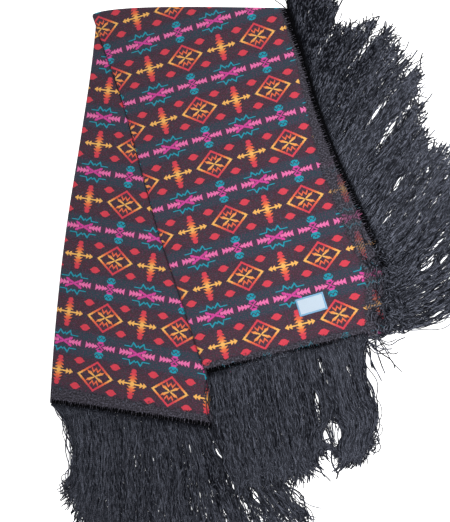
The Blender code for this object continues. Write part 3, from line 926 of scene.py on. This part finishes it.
backLie = (
    Lie(0.00, 278, -40, -47, -56), Lie(0.10, 280, -60, -62, -62), Lie(0.30, 285, -82, -80, -78),
    Lie(0.60, 285, -88, -88, -88), Lie(0.84, 275, -76, -86, -97), Lie(1.00, 232, -36, -80, -124),
)
fieldReach = 1.2  # of a strand's length, how far its lie is worked out
Slit = namedtuple("Slit", "x y length width turn")  # where strands part and what they lie on shows
slits = (
    Slit(361, 357, 150, 10.0, 58), Slit(382, 308, 110, 7.5, 59), Slit(398, 324, 55, 4.0, 70),
    Slit(397, 178, 66, 9.0, 55), Slit(392, 118, 52, 6.5, 62), Slit(378, 104, 80, 8.5, 63),
    Slit(464, -4, 62, 13.0, 60), Slit(499, 1, 42, 7.0, 56), Slit(489, 104, 38, 6.0, 48),
    Slit(489, 41, 50, 6.0, 42), Slit(433, 454, 68, 8.0, 50), Slit(448, 236, 50, 5.0, 70),
    Slit(473, 216, 46, 6.5, 60), Slit(502, 222, 48, 6.5, 55), Slit(506, 188, 46, 6.5, 53),
    Slit(478, 269, 36, 8.0, 60),
    Slit(225, -245, 110, 11.5, -71), Slit(212, -317, 60, 10.0, -100), Slit(219, -350, 56, 9.0, -66),
    Slit(247, -392, 74, 27.0, -66), Slit(236, -446, 60, 24.0, -80), Slit(286, -250, 60, 7.0, -64),
    Slit(336, -268, 70, 8.0, -62), Slit(-10, -435, 60, 9.5, -63), Slit(18, -498, 96, 11.5, -67),
    Slit(56, -559, 84, 11.5, -79), Slit(74, -529, 64, 9.0, -76), Slit(171, -531, 54, 8.5, -68),
)
slitShare = 0.84  # how far the strands stand back from a slit's line, as a share of its width
# The share of strands that lie over a slit, and how far the others stand back, least and spread.
Ragged = namedtuple("Ragged", "crossing least spread")
wideFrom = 12.0
wideRagged = Ragged(0.18, 0.9, 0.7)
narrowRagged = Ragged(0.13, 0.25, 1.25)

# What the upper and the lower fringe share at each hem. Rows of numbers are spread evenly along it.
hems = {
    "side": {
        "half": frontHalf, "hem": "side", "lie": sideLie, "from": 0.0, "lockSeed": 41, "parting": 0.6,
        "shade": (2.2, 1.1, 0.8, 0.6), "tone": (-0.45, 0.0, 0.50, 0.54, 0.50), "hemLit": (0.0, 0.0),
        "short": (0.1, 0.38, 0.42, 0.30, 0.08, 0.0), "wild": 0.03,
    },
    "front": {
        "half": frontHalf, "hem": "near", "lie": frontLie, "from": 0.12, "lockSeed": 32, "parting": 0.6,
        "shade": (0.1, 0.1, 0.5, 0.1, 0.4, 1.1), "tone": (0.40, 0.44),
        "hemLit": (0.5, 0.8, 0.3, 0.8, 0.6, 0.1), "short": (0.08, 0.08), "wild": 0.01,
    },
    "back": {
        "half": backHalf, "hem": "near", "lie": backLie, "from": 0.0, "lockSeed": 33, "parting": 0.4,
        "shade": (0.8, 0.5), "tone": (0.34, 0.34), "hemLit": (0.1, 0.3), "short": (0.08, 0.08), "wild": 0.0,
    },
}
fringes = {
    "sideFringeUpper": {
        **hems["side"], "node": "side_fringe_upper", "top": True, "seed": 11,
        "strands": 1040, "knots": 172, "pile": (4.0, 8.6),
    },
    "sideFringeLower": {
        **hems["side"], "node": "side_fringe_lower", "top": False, "seed": 12,
        "strands": 820, "knots": 168, "pile": (1.0, 4.6),
    },
    "frontFringeUpper": {
        **hems["front"], "node": "front_fringe_upper", "top": True, "seed": 13,
        "strands": 820, "knots": 90, "pile": (3.4, 7.6),
    },
    "frontFringeLower": {
        **hems["front"], "node": "front_fringe_lower", "top": False, "seed": 14,
        "strands": 560, "knots": 86, "pile": (1.0, 3.8),
    },
    "backFringeUpper": {
        **hems["back"], "node": "back_fringe_upper", "top": True, "seed": 15,
        "strands": 800, "knots": 90, "pile": (2.8, 5.4),
    },
    "backFringeLower": {
        **hems["back"], "node": "back_fringe_lower", "top": False, "seed": 16,
        "strands": 560, "knots": 86, "pile": (1.0, 3.2),
    },
}
tangle = {
    "strands": 110,
    "steps": 24,
    "seed": 21,
    "from": 0.74,  # along the side hem
    "inset": (-4.0, 1.0),
    "reach": 90.0,
    "length": (40.0, 100.0),
    "startTurn": (0.2, 0.7),  # mean and spread, radians from the hem's direction
    "winding": 1.0,
    "pastCorner": 7.0,
    "widest": 46.0,  # in from the hem
    "lift": (0.9, 4.2),  # over the cloth
    "tone": (0.2, 0.3),  # mean and spread
    "thickness": (0.8, 1.05),
    "loose": 30,  # more of them, off the near hem beside the corner
    "looseFrom": (0.06, 0.28),  # along the near hem
    "looseLow": (0.3, 4.0),  # over the floor
    "looseFall": 45.0,
    "looseThicker": 1.25,
    "looseRuns": ((-40, 12, 64, 48, 84), (-84, 7, 22, 60, 105)),  # direction, spread, bend and two lengths
}


def twistGroup():
    # Slanting ridges round a strand, between 1 on a ply and -1 between two,
    # and painted highlights in stretches along it.
    (place, pitch), (ridgeOut, highlightsOut) = newGroup(
        "twist", {"Place": "Vector", "Pitch": "Float"}, ("Ridge", "Wear"),
    )
    around, along, _ = apart(place)
    plug(((around * 2.0 + along.worked("DIVIDE", pitch)) * (2 * np.pi)).wave(), ridgeOut)
    plug(noise(together(along * 0.06, around.worked("FLOOR") * 7.3, 0.0), 1.0, 2.0, 0.6), highlightsOut)
    return place.tree


def labelThread(twist):
    material, tree, surface = newMaterial("labelThread", 0.6, sheen=0.1)
    ridge, _ = useGroup(twist, Place=placeOn(tree), Pitch=label["stitchTwist"])
    # Painted shade: the thread is darker in the furrows between its plies.
    shadedPlies = mixed(ridge.ramp(-1, 1), tuple(0.6 * c for c in label["stitch"]), label["stitch"])
    painted(surface, shadedPlies, ridge, 0.4, 0.0002)
    return material


def fringeYarn(name, twist, highlightShare, deepest):
    # Each strand has its own tone, which for fringe strands also holds painted shade low in the pile, and
    # painted highlights in lighter stretches along it; lit is painted shade that darkens it near the hem.
    # The furrows of the twist have the share deepest of the yarn's light, as painted shade, and its crests
    # get more, as painted highlights.
    material, tree, surface = newMaterial(name, 0.5, specular=0.02)
    ridge, highlights = useGroup(twist, Place=placeOn(tree), Pitch=yarn["twistPitch"])
    share = attribute(tree, "tone") * 0.34 + highlights.ramp(0.48, 0.66, 0.0, highlightShare)
    # Painted shade in the furrows of the twist, and painted highlights on its crests.
    share = (share * ridge.ramp(-1, 1, deepest, 1.8 - deepest)).ramp(0.0, 1.0, kind="LINEAR")
    lit = attribute(tree, "lit")
    colour = mixed(share * lit, yarn["dark"], yarn["light"])
    # Painted shade near the hem, where lit is low.
    colour = mixed(1.0, colour, lit.ramp(0.05, 0.35, 0.15, 1.0), "MULTIPLY")
    painted(surface, colour, ridge, 0.35, 0.0003)
    return material


def litBy(share):
    return yarn["darkest"] + (1 - yarn["darkest"]) * share


def addStrands(name, paths, radius, sides, material, tones=0.0, shadow=None, lit=1.0):
    # Thin tubes along paths, which are strands by steps by XYZ: a ring of points round each step, turned
    # to the strand's direction. shadow is how far along a strand it is black, and where it is fully lit.
    count, steps = paths.shape[:2]
    ahead = unit(np.gradient(paths, axis=1))
    aside = unit(np.cross(ahead, np.array([0.0, 0.0, 1.0])))
    above = np.cross(aside, ahead)
    angle = np.linspace(0, 2 * np.pi, sides, endpoint=False) + np.pi / 2
    ring = aside[:, :, None] * np.cos(angle)[:, None] + above[:, :, None] * np.sin(angle)[:, None]
    points = paths[:, :, None] + ring * np.broadcast_to(radius, (count, steps))[:, :, None, None]
    travelled = np.cumsum(np.linalg.norm(np.diff(paths, axis=1, prepend=paths[:, :1]), axis=-1), axis=1)
    # The whole part of a point's first coordinate is its strand's number.
    around = np.arange(count)[:, None, None] + np.arange(sides) / sides
    uv = np.stack(np.broadcast_arrays(around, travelled[:, :, None]), -1)
    if shadow is not None:
        black, full = shadow
        lit = litBy(smoothStep((travelled - black) / (full - black)))
    return addTubes(name, points, material, uv, tones, lit)


def hemLine(half, hem, outer):
    # The panel's edge at a hem, read so that its left side is outwards, with the heights of its layers.
    edge = outer[half["foldCells"]:, -1] if hem == "side" else outer[-1, half["foldCells"]:][::-1]
    plan = edge[:, :2]
    return np.column_stack([plan, baseUnder(half, plan), hiddenTop(half, plan), edge[:, 2]])


def reachedAlong(hem):
    # Millimetres from a hem's start to each of its points.
    return np.concatenate([[0], np.cumsum(np.linalg.norm(np.diff(hem[:, :2], axis=0), axis=1))])


def hemAt(hem, places):
    # Plan points, outward directions, and heights of floor, hidden layers and cloth, at places 0 to 1.
    # The directions are taken over 12 mm of hem.
    reached = reachedAlong(hem)
    distance = np.clip(places, -0.05, 1.05) * reached[-1]
    x, y, *heights = (np.interp(distance, reached, column) for column in hem.T)
    before, after = (
        np.column_stack([np.interp(distance + off, reached, column) for column in hem[:, :2].T])
        for off in (-6, 6)
    )
    return np.column_stack([x, y]), -turnedRight(unit(after - before)), heights


def flowField(hem, lie):
    # Where a strand from each place along the hem lies, as places by shares of its length: its direction
    # changes evenly from root to middle and from middle to tip. Also gives the strands' lengths.
    places = np.linspace(0, 1, 161)
    shares = np.linspace(0, fieldReach, 61)
    point, outward, _ = hemAt(hem, places)
    table = np.array(lie, float)
    length, root, bend, tip = (np.interp(places, table[:, 0], column)[:, None] for column in table[:, 1:].T)
    early, late = np.clip(shares * 2, 0, 1), np.clip(shares * 2 - 1, 0, None)
    direction = np.radians(root + (bend - root) * early + (tip - bend) * late)
    stride = np.stack([np.cos(direction), np.sin(direction)], -1) * length[..., None] * shares[1]
    run = np.cumsum((stride[:, 1:] + stride[:, :-1]) / 2, axis=1)
    run = np.concatenate([np.zeros_like(stride[:, :1]), run], axis=1)
    return (point + outward * yarn["knotReach"])[:, None] + run, length[:, 0]


def readField(field, place, share):
    # The field between its rows and columns, with places past the hem's ends carried on.
    rows, columns = field.shape[:2]
    row = place * (rows - 1)
    column = np.clip(share / fieldReach, 0, 1) * (columns - 1)
    r = np.clip(np.floor(row).astype(int), 0, rows - 2)
    c = np.clip(np.floor(column).astype(int), 0, columns - 2)
    fr, fc = (row - r)[..., None], (column - c)[..., None]
    top = field[r, c] * (1 - fc) + field[r, c + 1] * fc
    bottom = field[r + 1, c] * (1 - fc) + field[r + 1, c + 1] * fc
    return top * (1 - fr) + bottom * fr


def restingOn(spec, points):
    # What the fringe lies on: the floor, or for the front half's near fringe the back half, then its fringe.
    if spec["half"] is backHalf or spec["hem"] == "side":
        return np.zeros(points.shape[:-1])
    pastHem = backHalf["sections"][-1].hemY - points[..., 1]
    offHem = (pastHem - yarn["fall"] - resting["past"]) / resting["hemSlope"]
    onBack = (stackHeight + gap) * (1 - smoothStep(offHem))
    rightEdge = beyondBack(points) - resting["spread"] * np.clip(pastHem, 0, None)
    offSide = (rightEdge - resting["past"]) / resting["sideSlope"]
    return np.maximum(onBack, resting["onFringe"]) * (1 - smoothStep(offSide))


def waved(rng, count, shares, wave):
    # For each strand a sine of random phase, its height at the root, and a random size.
    phase = rng.uniform(0, 2 * np.pi, (count, 1))
    size = rng.normal(0, 1, (count, 1))
    return np.sin(2 * np.pi * wave * shares + phase), np.sin(phase), size


def wander(rng, count, shares, waves, size):
    # Slow sideways wandering along each strand: the sum of a few waves, nothing at the root.
    total = np.zeros((count, len(shares)))
    for wave in waves:
        sine, atRoot, bend = waved(rng, count, shares, wave)
        total += bend / wave * (sine - atRoot)
    return total * size


def crimp(rng, count, shares, waves, size):
    # Short, even waves: the kinks that the yarn keeps from its plies, as turns of its direction.
    total = np.zeros((count, len(shares)))
    for wave in waves:
        sine, _, turn = waved(rng, count, shares, wave)
        total += np.abs(turn) * sine
    return total * size


def evenly(values, place):
    # Values that are spaced evenly along a hem, read at places 0 to 1.
    return np.interp(place, np.linspace(0, 1, len(values)), values)


def parted(plan, chance):
    # Strands keep to one side of each slit, a lens along its own line; the crossing ones lie over it.
    for slit in slits:
        ragged = wideRagged if slit.width > wideFrom else narrowRagged
        crossing = (chance * 31 + slit.length) % 1 < ragged.crossing
        ahead, left = axesAt(slit.turn)
        off = plan - np.array([slit.x, slit.y])
        near = np.abs(off).max(axis=-1).min(axis=1) < slit.length
        rows = np.flatnonzero(near & ~crossing)
        if not len(rows):
            continue
        along, across = off[rows] @ ahead, off[rows] @ left
        opening = np.cos(np.clip(np.abs(along) / slit.length, 0, 0.5) * np.pi) ** 1.3
        side = np.where((across * opening).sum(axis=1) < 0, -1.0, 1.0)[:, None]
        out = across * side
        half = slit.width * slitShare
        moved = opening * (half * np.exp(-np.clip(out, 0, None) / (2.5 * half)) + np.clip(-out, 0, 4 * half))
        moved *= ragged.least + ragged.spread * (chance[rows] * 7.3 % 1)[:, None]
        plan[rows] += (moved * side)[..., None] * left
    return plan


def knotPlaces(knots, rng):
    return (np.arange(knots) + 0.5 + rng.uniform(-0.2, 0.2, knots)) / knots


def lengthShares(spec, place, rng):
    # How long each strand is, as a share of the length at its place, and which tips are looped or wild.
    count = len(place)
    longer = 1 + np.clip(rng.normal(*strand["longer"], count), *strand["longerWithin"])
    isShort = rng.random(count) < evenly(spec["short"], place)
    longer = np.where(isShort, rng.uniform(*strand["shortLength"], count), longer)
    looped = rng.random((count, 1)) < strand["looped"]
    wild = np.random.default_rng(spec["seed"] + 200).random((count, 1)) < spec["wild"]
    looped &= ~wild
    longer += strand["loopLonger"] * looped[:, 0] + strand["wildLonger"] * wild[:, 0]
    return longer, looped, wild


def lockOf(spec, place):
    # Each strand's lock, which both fringes at a hem share: its middle, pull, drift and length.
    rng = np.random.default_rng(spec["lockSeed"])
    edges = np.cumsum(rng.uniform(*strand["lockWidth"], 90))
    edges = np.concatenate([[0.0], edges[edges < 0.98], [1.0]])
    lock = np.clip(np.searchsorted(edges, place) - 1, 0, len(edges) - 2)
    pull = rng.uniform(*strand["lockPull"], len(edges)) * spec["parting"]
    drift = rng.normal(0, strand["lockDrift"], len(edges))
    longer = 1 + rng.uniform(*strand["lockLonger"], len(edges))
    return (edges[lock] + edges[lock + 1])[:, None] / 2, pull[lock, None], drift[lock, None], longer[lock]


def bentAndCurled(plan, shares, stray, looped, rng):
    # Bends and crimps of each strand's own, and a curl at its tip.
    count = len(plan)
    bend = crimp(rng, count, shares[1:], (1.3, 2.3), np.radians(strand["bend"])) * stray
    bend += crimp(rng, count, shares[1:], (3.7, 5.3), np.radians(strand["crimp"]))
    curl = rng.normal(0, strand["curl"], (count, 1))
    loop = np.sign(curl) * rng.uniform(*strand["loopTurn"], (count, 1))
    curlFrom = rng.uniform(*strand["curlFrom"], (count, 1))
    started = smoothStep((shares[1:] - curlFrom) / (1.02 - curlFrom))
    angle = bend + np.radians(np.where(looped, loop, curl)) * started
    x, y = np.moveaxis(np.diff(plan, axis=1), -1, 0)
    turned = np.dstack([x * np.cos(angle) - y * np.sin(angle), x * np.sin(angle) + y * np.cos(angle)])
    return np.concatenate([plan[:, :1], plan[:, :1] + np.cumsum(turned, axis=1)], axis=1)


def hungFrom(spec, heights):
    # The height at which yarn leaves its hem: under the cloth's face, or among the hidden layers' edges.
    floorLevel, hiddenLevel, clothLevel = heights
    if spec["top"]:
        return clothLevel - yarn["underFace"]
    return floorLevel + yarn["amongLayers"] * (hiddenLevel - floorLevel)


def throughCloth(point, outward, clothLevel, rng):
    # The start of the yarn, where it goes through the cloth and comes over the edge.
    count = len(point)
    inset = yarn["pierce"] * rng.uniform(0.5, 1.5, (count, 1))
    starts = []
    for share, above in ((1.0, 0.1), (0.5, 0.8), (0.1, 0.6)):
        spot = point - outward * inset * share - turnedRight(outward) * rng.normal(0, 0.8, (count, 1))
        starts.append(np.column_stack([spot, clothLevel + above + rng.uniform(0, 0.8, count)]))
    return np.stack(starts, 1)


def strandPaths(spec, hem, rng):
    # Strands by steps by XYZ, and each strand's level in the pile, place along the hem and thickness.
    count, knots = spec["strands"], spec["knots"]
    even = np.linspace(0, 1, yarn["steps"])
    shares = even + yarn["closerTips"] * (np.sin(even * np.pi / 2) - even)
    field, lengths = flowField(hem, spec["lie"])
    room = 1 - spec["from"]
    knot = spec["from"] + room * knotPlaces(knots, rng)[np.arange(count) * knots // count]
    place = knot + room * rng.uniform(-strand["roundKnot"], strand["roundKnot"], count) / knots
    length = evenly(lengths, place)[:, None]
    longer, looped, wild = lengthShares(spec, place, rng)

    # Strands leave their knot together, then gather into locks.
    lockMiddle, pull, drift, lockLonger = lockOf(spec, place)
    loosened = smoothStep(shares * length / yarn["knotLoosens"])
    along = knot[:, None] + (place - knot)[:, None] * (0.3 + 0.7 * loosened)
    along += (lockMiddle - along) * pull * smoothStep(shares * 1.4) * 0.8 + drift * shares ** 1.5
    stray = np.where(rng.random((count, 1)) < strand["stray"], strand["strayBy"], 1.0)
    stray = stray + strand["wildStray"] * wild
    apartBy = wander(rng, count, shares, (0.8, 1.7), strand["wander"]) * shares ** 0.8 * stray
    along += apartBy / reachedAlong(hem)[-1]
    plan = readField(field, np.clip(along, -0.01, 1.01), shares * (longer * lockLonger)[:, None])
    plan = bentAndCurled(plan, shares, stray, looped, rng)
    plan = parted(plan, rng.random(count))

    # Height: down from the hem to the strand's own level in the pile.
    point, outward, heights = hemAt(hem, knot)
    low, high = spec["pile"]
    level = rng.uniform(0, 1, (count, 1)) + wander(rng, count, shares, (1.3, 2.9), strand["level"])
    pile = low + (high - low) * np.clip(level, 0, 1) * (1 - 0.45 * smoothStep((shares - 0.4) / 0.6))
    pile *= 1 - 0.55 * smoothStep((shares - 0.55) / 0.45) * (low > 2)
    rise = hungFrom(spec, heights)[:, None] + rng.normal(0, strand["levelAtHem"], (count, 1))
    fallen = smoothStep(shares * length / yarn["fall"])
    height = rise + (restingOn(spec, plan) + pile - rise) * fallen
    paths = np.dstack([plan, np.maximum(height, yarn["radius"] + 0.1)])
    if spec["top"]:
        paths = np.concatenate([throughCloth(point, outward, heights[-1], rng), paths], axis=1)
    return paths, np.clip(level.mean(axis=1), 0, 1), place, 1 + strand["wildThicker"] * wild


def addFringe(name, spec, outer, material):
    rng = np.random.default_rng(spec["seed"])
    hem = hemLine(spec["half"], spec["hem"], outer)
    paths, level, place, thicker = strandPaths(spec, hem, rng)
    tones = np.clip(evenly(spec["tone"], place) + rng.normal(0, strand["tone"], len(paths)), -0.5, 1)
    # Painted shade: strands low in the pile get darker tones, as if less light reached them there.
    tones *= 0.25 + 0.75 * level  # darker low in the pile
    thin = np.ones(paths.shape[1])
    thin[-1] = yarn["thinTip"]
    radius = yarn["radius"] * rng.uniform(*strand["thickness"], (len(paths), 1)) * thin * thicker
    radius *= 1.0 if spec["top"] else yarn["lowerThicker"]
    shadow = np.multiply.outer(yarn["shadow"], evenly(spec["shade"], place))[..., None]
    piece = addStrands(name, paths, radius, yarn["sides"], material, tones=tones, shadow=shadow)
    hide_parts(spec["node"])
    return piece


def addKnots(name, spec, outer, material):
    # A row of knots: egg shapes over two angles, longer outwards than across.
    rng = np.random.default_rng(spec["seed"] + 100)
    count = spec["knots"]
    places = knotPlaces(count, np.random.default_rng(spec["seed"]))
    point, outward, heights = hemAt(hemLine(spec["half"], spec["hem"], outer), places)
    level = np.maximum(hungFrom(spec, heights) - yarn["knotLower"] * spec["top"], yarn["knotLowest"])
    rings, sides = yarn["knotCells"]
    toOut, toSide, toTop = yarn["knotSize"]
    theta = np.linspace(0, 2 * np.pi, sides, endpoint=False)
    phi = np.linspace(0.15, np.pi - 0.15, rings)[:, None]
    size = rng.uniform(0.85, 1.2, (count, 1, 1, 1))
    centre = point + outward * (yarn["knotReach"] - 0.6 + rng.uniform(-0.5, 0.9, count))[:, None]
    plan = np.cos(phi)[..., None] * toOut * outward[:, None, None]
    plan = plan + (np.sin(phi) * np.cos(theta))[..., None] * toSide * turnedRight(outward)[:, None, None]
    high = level[:, None, None] + np.sin(phi) * np.sin(theta) * toTop * size[..., 0]
    points = np.concatenate([centre[:, None, None] + plan * size, high[..., None]], -1)
    uv = np.stack(np.broadcast_arrays(theta / np.pi, 3 * phi), -1)
    tones = rng.uniform(0, 0.9, count)
    # Painted shade: hemLit darkens the knots, and each gets a little light of its own at random.
    lit = rng.uniform(0.0, 0.16, count) + evenly(spec["hemLit"], places)
    return addTubes(name, points, material, uv, tones, lit[:, None])


def addHemCord(name, spec, outer, material):
    # Plies twisted along the hem, each a helix round the edge of the cloth.
    hem = hemLine(spec["half"], spec["hem"], outer)
    hemLength = reachedAlong(hem)[-1]
    places = np.linspace(0.002, 0.998, round(hemLength / yarn["cordStep"]))
    point, outward, heights = hemAt(hem, places)
    swing, plies = yarn["cordRadius"], yarn["cordPlies"]
    turn = 2 * np.pi * (places * hemLength / yarn["cordPitch"] + np.arange(plies)[:, None] / plies)
    plan = point + outward * (yarn["cordOut"] + swing * np.cos(turn))[..., None]
    paths = np.dstack([plan, heights[-1] - yarn["cordUnder"] + swing * np.sin(turn)])
    # Painted shade: hemLit darkens the cord, to black along the side hem, where shade falls between cloth
    # and fringe.
    return addStrands(
        name, paths, swing * yarn["plyRadius"], yarn["cordSides"], material,
        tones=yarn["cordTone"], lit=litBy(evenly(spec["hemLit"], places)),
    )


def runOf(turn, stride):
    # How far each strand has gone at each step, from its directions and the length of a step.
    return np.cumsum(np.dstack([np.cos(turn), np.sin(turn)]) * stride[..., None], axis=1)


def fallenBack(rng, even, outer):
    # Strands that have fallen back over the cloth beside its near right corner: each leaves the side hem,
    # bends round along it, and winds about over the margin.
    hem = hemLine(frontHalf, "side", outer)
    count = tangle["strands"]
    place = tangle["from"] + (1 - tangle["from"]) * rng.random(count) ** 0.7
    point, outward, _ = hemAt(hem, place)
    ahead = turnedRight(outward)
    inset = rng.uniform(*tangle["inset"], count)
    inset += tangle["reach"] * rng.random(count) ** 1.5 * (place - tangle["from"])
    start = np.arctan2(ahead[:, 1], ahead[:, 0]) + rng.normal(*tangle["startTurn"], count)
    turn = start[:, None] + wander(rng, count, even, (0.7, 1.6, 3.3), tangle["winding"])
    stride = rng.uniform(*tangle["length"], (count, 1)) / tangle["steps"]
    plan = (point - outward * inset[:, None])[:, None] + runOf(turn, stride)
    # They turn back at the near hem, and keep to the margin.
    corner = hemAt(hem, np.ones(1))[0]
    past = np.einsum("ijk,ik->ij", plan - corner, ahead) - tangle["pastCorner"]
    plan -= (2 * np.clip(past, 0, None))[..., None] * ahead[:, None]
    away = np.einsum("ijk,ik->ij", plan - point[:, None], -outward)
    plan += (away - tangle["widest"] * np.tanh(away / tangle["widest"]))[..., None] * outward[:, None]
    height = panelTop(frontHalf, plan) + rng.uniform(*tangle["lift"], (count, 1)) + yarn["radius"]
    return np.dstack([plan, height])


def looseStrands(rng, even, outer):
    # Beside the corner, strands come off the near hem, apart from one another, to the right or towards
    # the viewer.
    count = tangle["loose"]
    hem = hemLine(frontHalf, "near", outer)
    point, outward, heights = hemAt(hem, rng.uniform(*tangle["looseFrom"], count))
    towards, spread, bend, shortest, longest = np.array(tangle["looseRuns"])[np.arange(count) % 2].T
    start = np.radians(towards + spread * rng.normal(0, 1, count))
    turn = start[:, None] + np.radians(bend)[:, None] * even + wander(rng, count, even, (0.8, 1.7), 0.25)
    stride = rng.uniform(shortest, longest)[:, None] / tangle["steps"]
    plan = (point + outward * 2)[:, None] + runOf(turn, stride)
    low = yarn["radius"] + rng.uniform(*tangle["looseLow"], (count, 1))
    fallen = smoothStep(stride * np.arange(1, tangle["steps"] + 1) / tangle["looseFall"])
    height = low + (heights[-1][:, None] - 1 - low) * (1 - fallen)
    return np.dstack([plan, height])


def addTangle(outer, material):
    rng = np.random.default_rng(tangle["seed"])
    even = np.linspace(0, 1, tangle["steps"])
    paths = np.concatenate([fallenBack(rng, even, outer), looseStrands(rng, even, outer)])
    tones = np.clip(rng.normal(*tangle["tone"], len(paths)), 0, 1)
    radius = yarn["radius"] * rng.uniform(*tangle["thickness"], (len(paths), 1))
    radius[-tangle["loose"]:] *= tangle["looseThicker"]
    return addStrands("tangle", paths, radius, yarn["sides"], material, tones=tones)


print("studio")
addStudio()

print("cloth")
weave = weaveGroup()
patterned = patternedWool(figureGroup(), weave)
plain = plainWool(weave)
backPanel, backOuter = addPanel("backPanel", backHalf, patterned)
frontPanel, frontOuter = addPanel("frontPanel", frontHalf, patterned)
backLayers = addHiddenLayers("backLayers", backHalf, plain)
frontLayers = addHiddenLayers("frontLayers", frontHalf, plain)
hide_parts("back_panel")
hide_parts("front_panel")
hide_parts("back_hidden_layers")
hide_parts("front_hidden_layers")

print("label")
twist = twistGroup()
addLabel(twist)

print("fringe")
charcoal = fringeYarn("sideYarn", twist, 0.72, 0.40)
evenCharcoal = fringeYarn("nearYarn", twist, 0.40, 0.55)
hung = {"front": [], "back": []}
for name, spec in fringes.items():
    outer = frontOuter if spec["half"] is frontHalf else backOuter
    side = hung["front"] if spec["half"] is frontHalf else hung["back"]
    side.append(addFringe(name, spec, outer, charcoal if spec["hem"] == "side" else evenCharcoal))
    side.append(addKnots(name.replace("Fringe", "Knots"), spec, outer, charcoal))
    if spec["top"]:
        cordName = name.replace("FringeUpper", "HemCord")
        side.append(addHemCord(cordName, spec, outer, charcoal))
hung["front"].append(addTangle(frontOuter, charcoal))
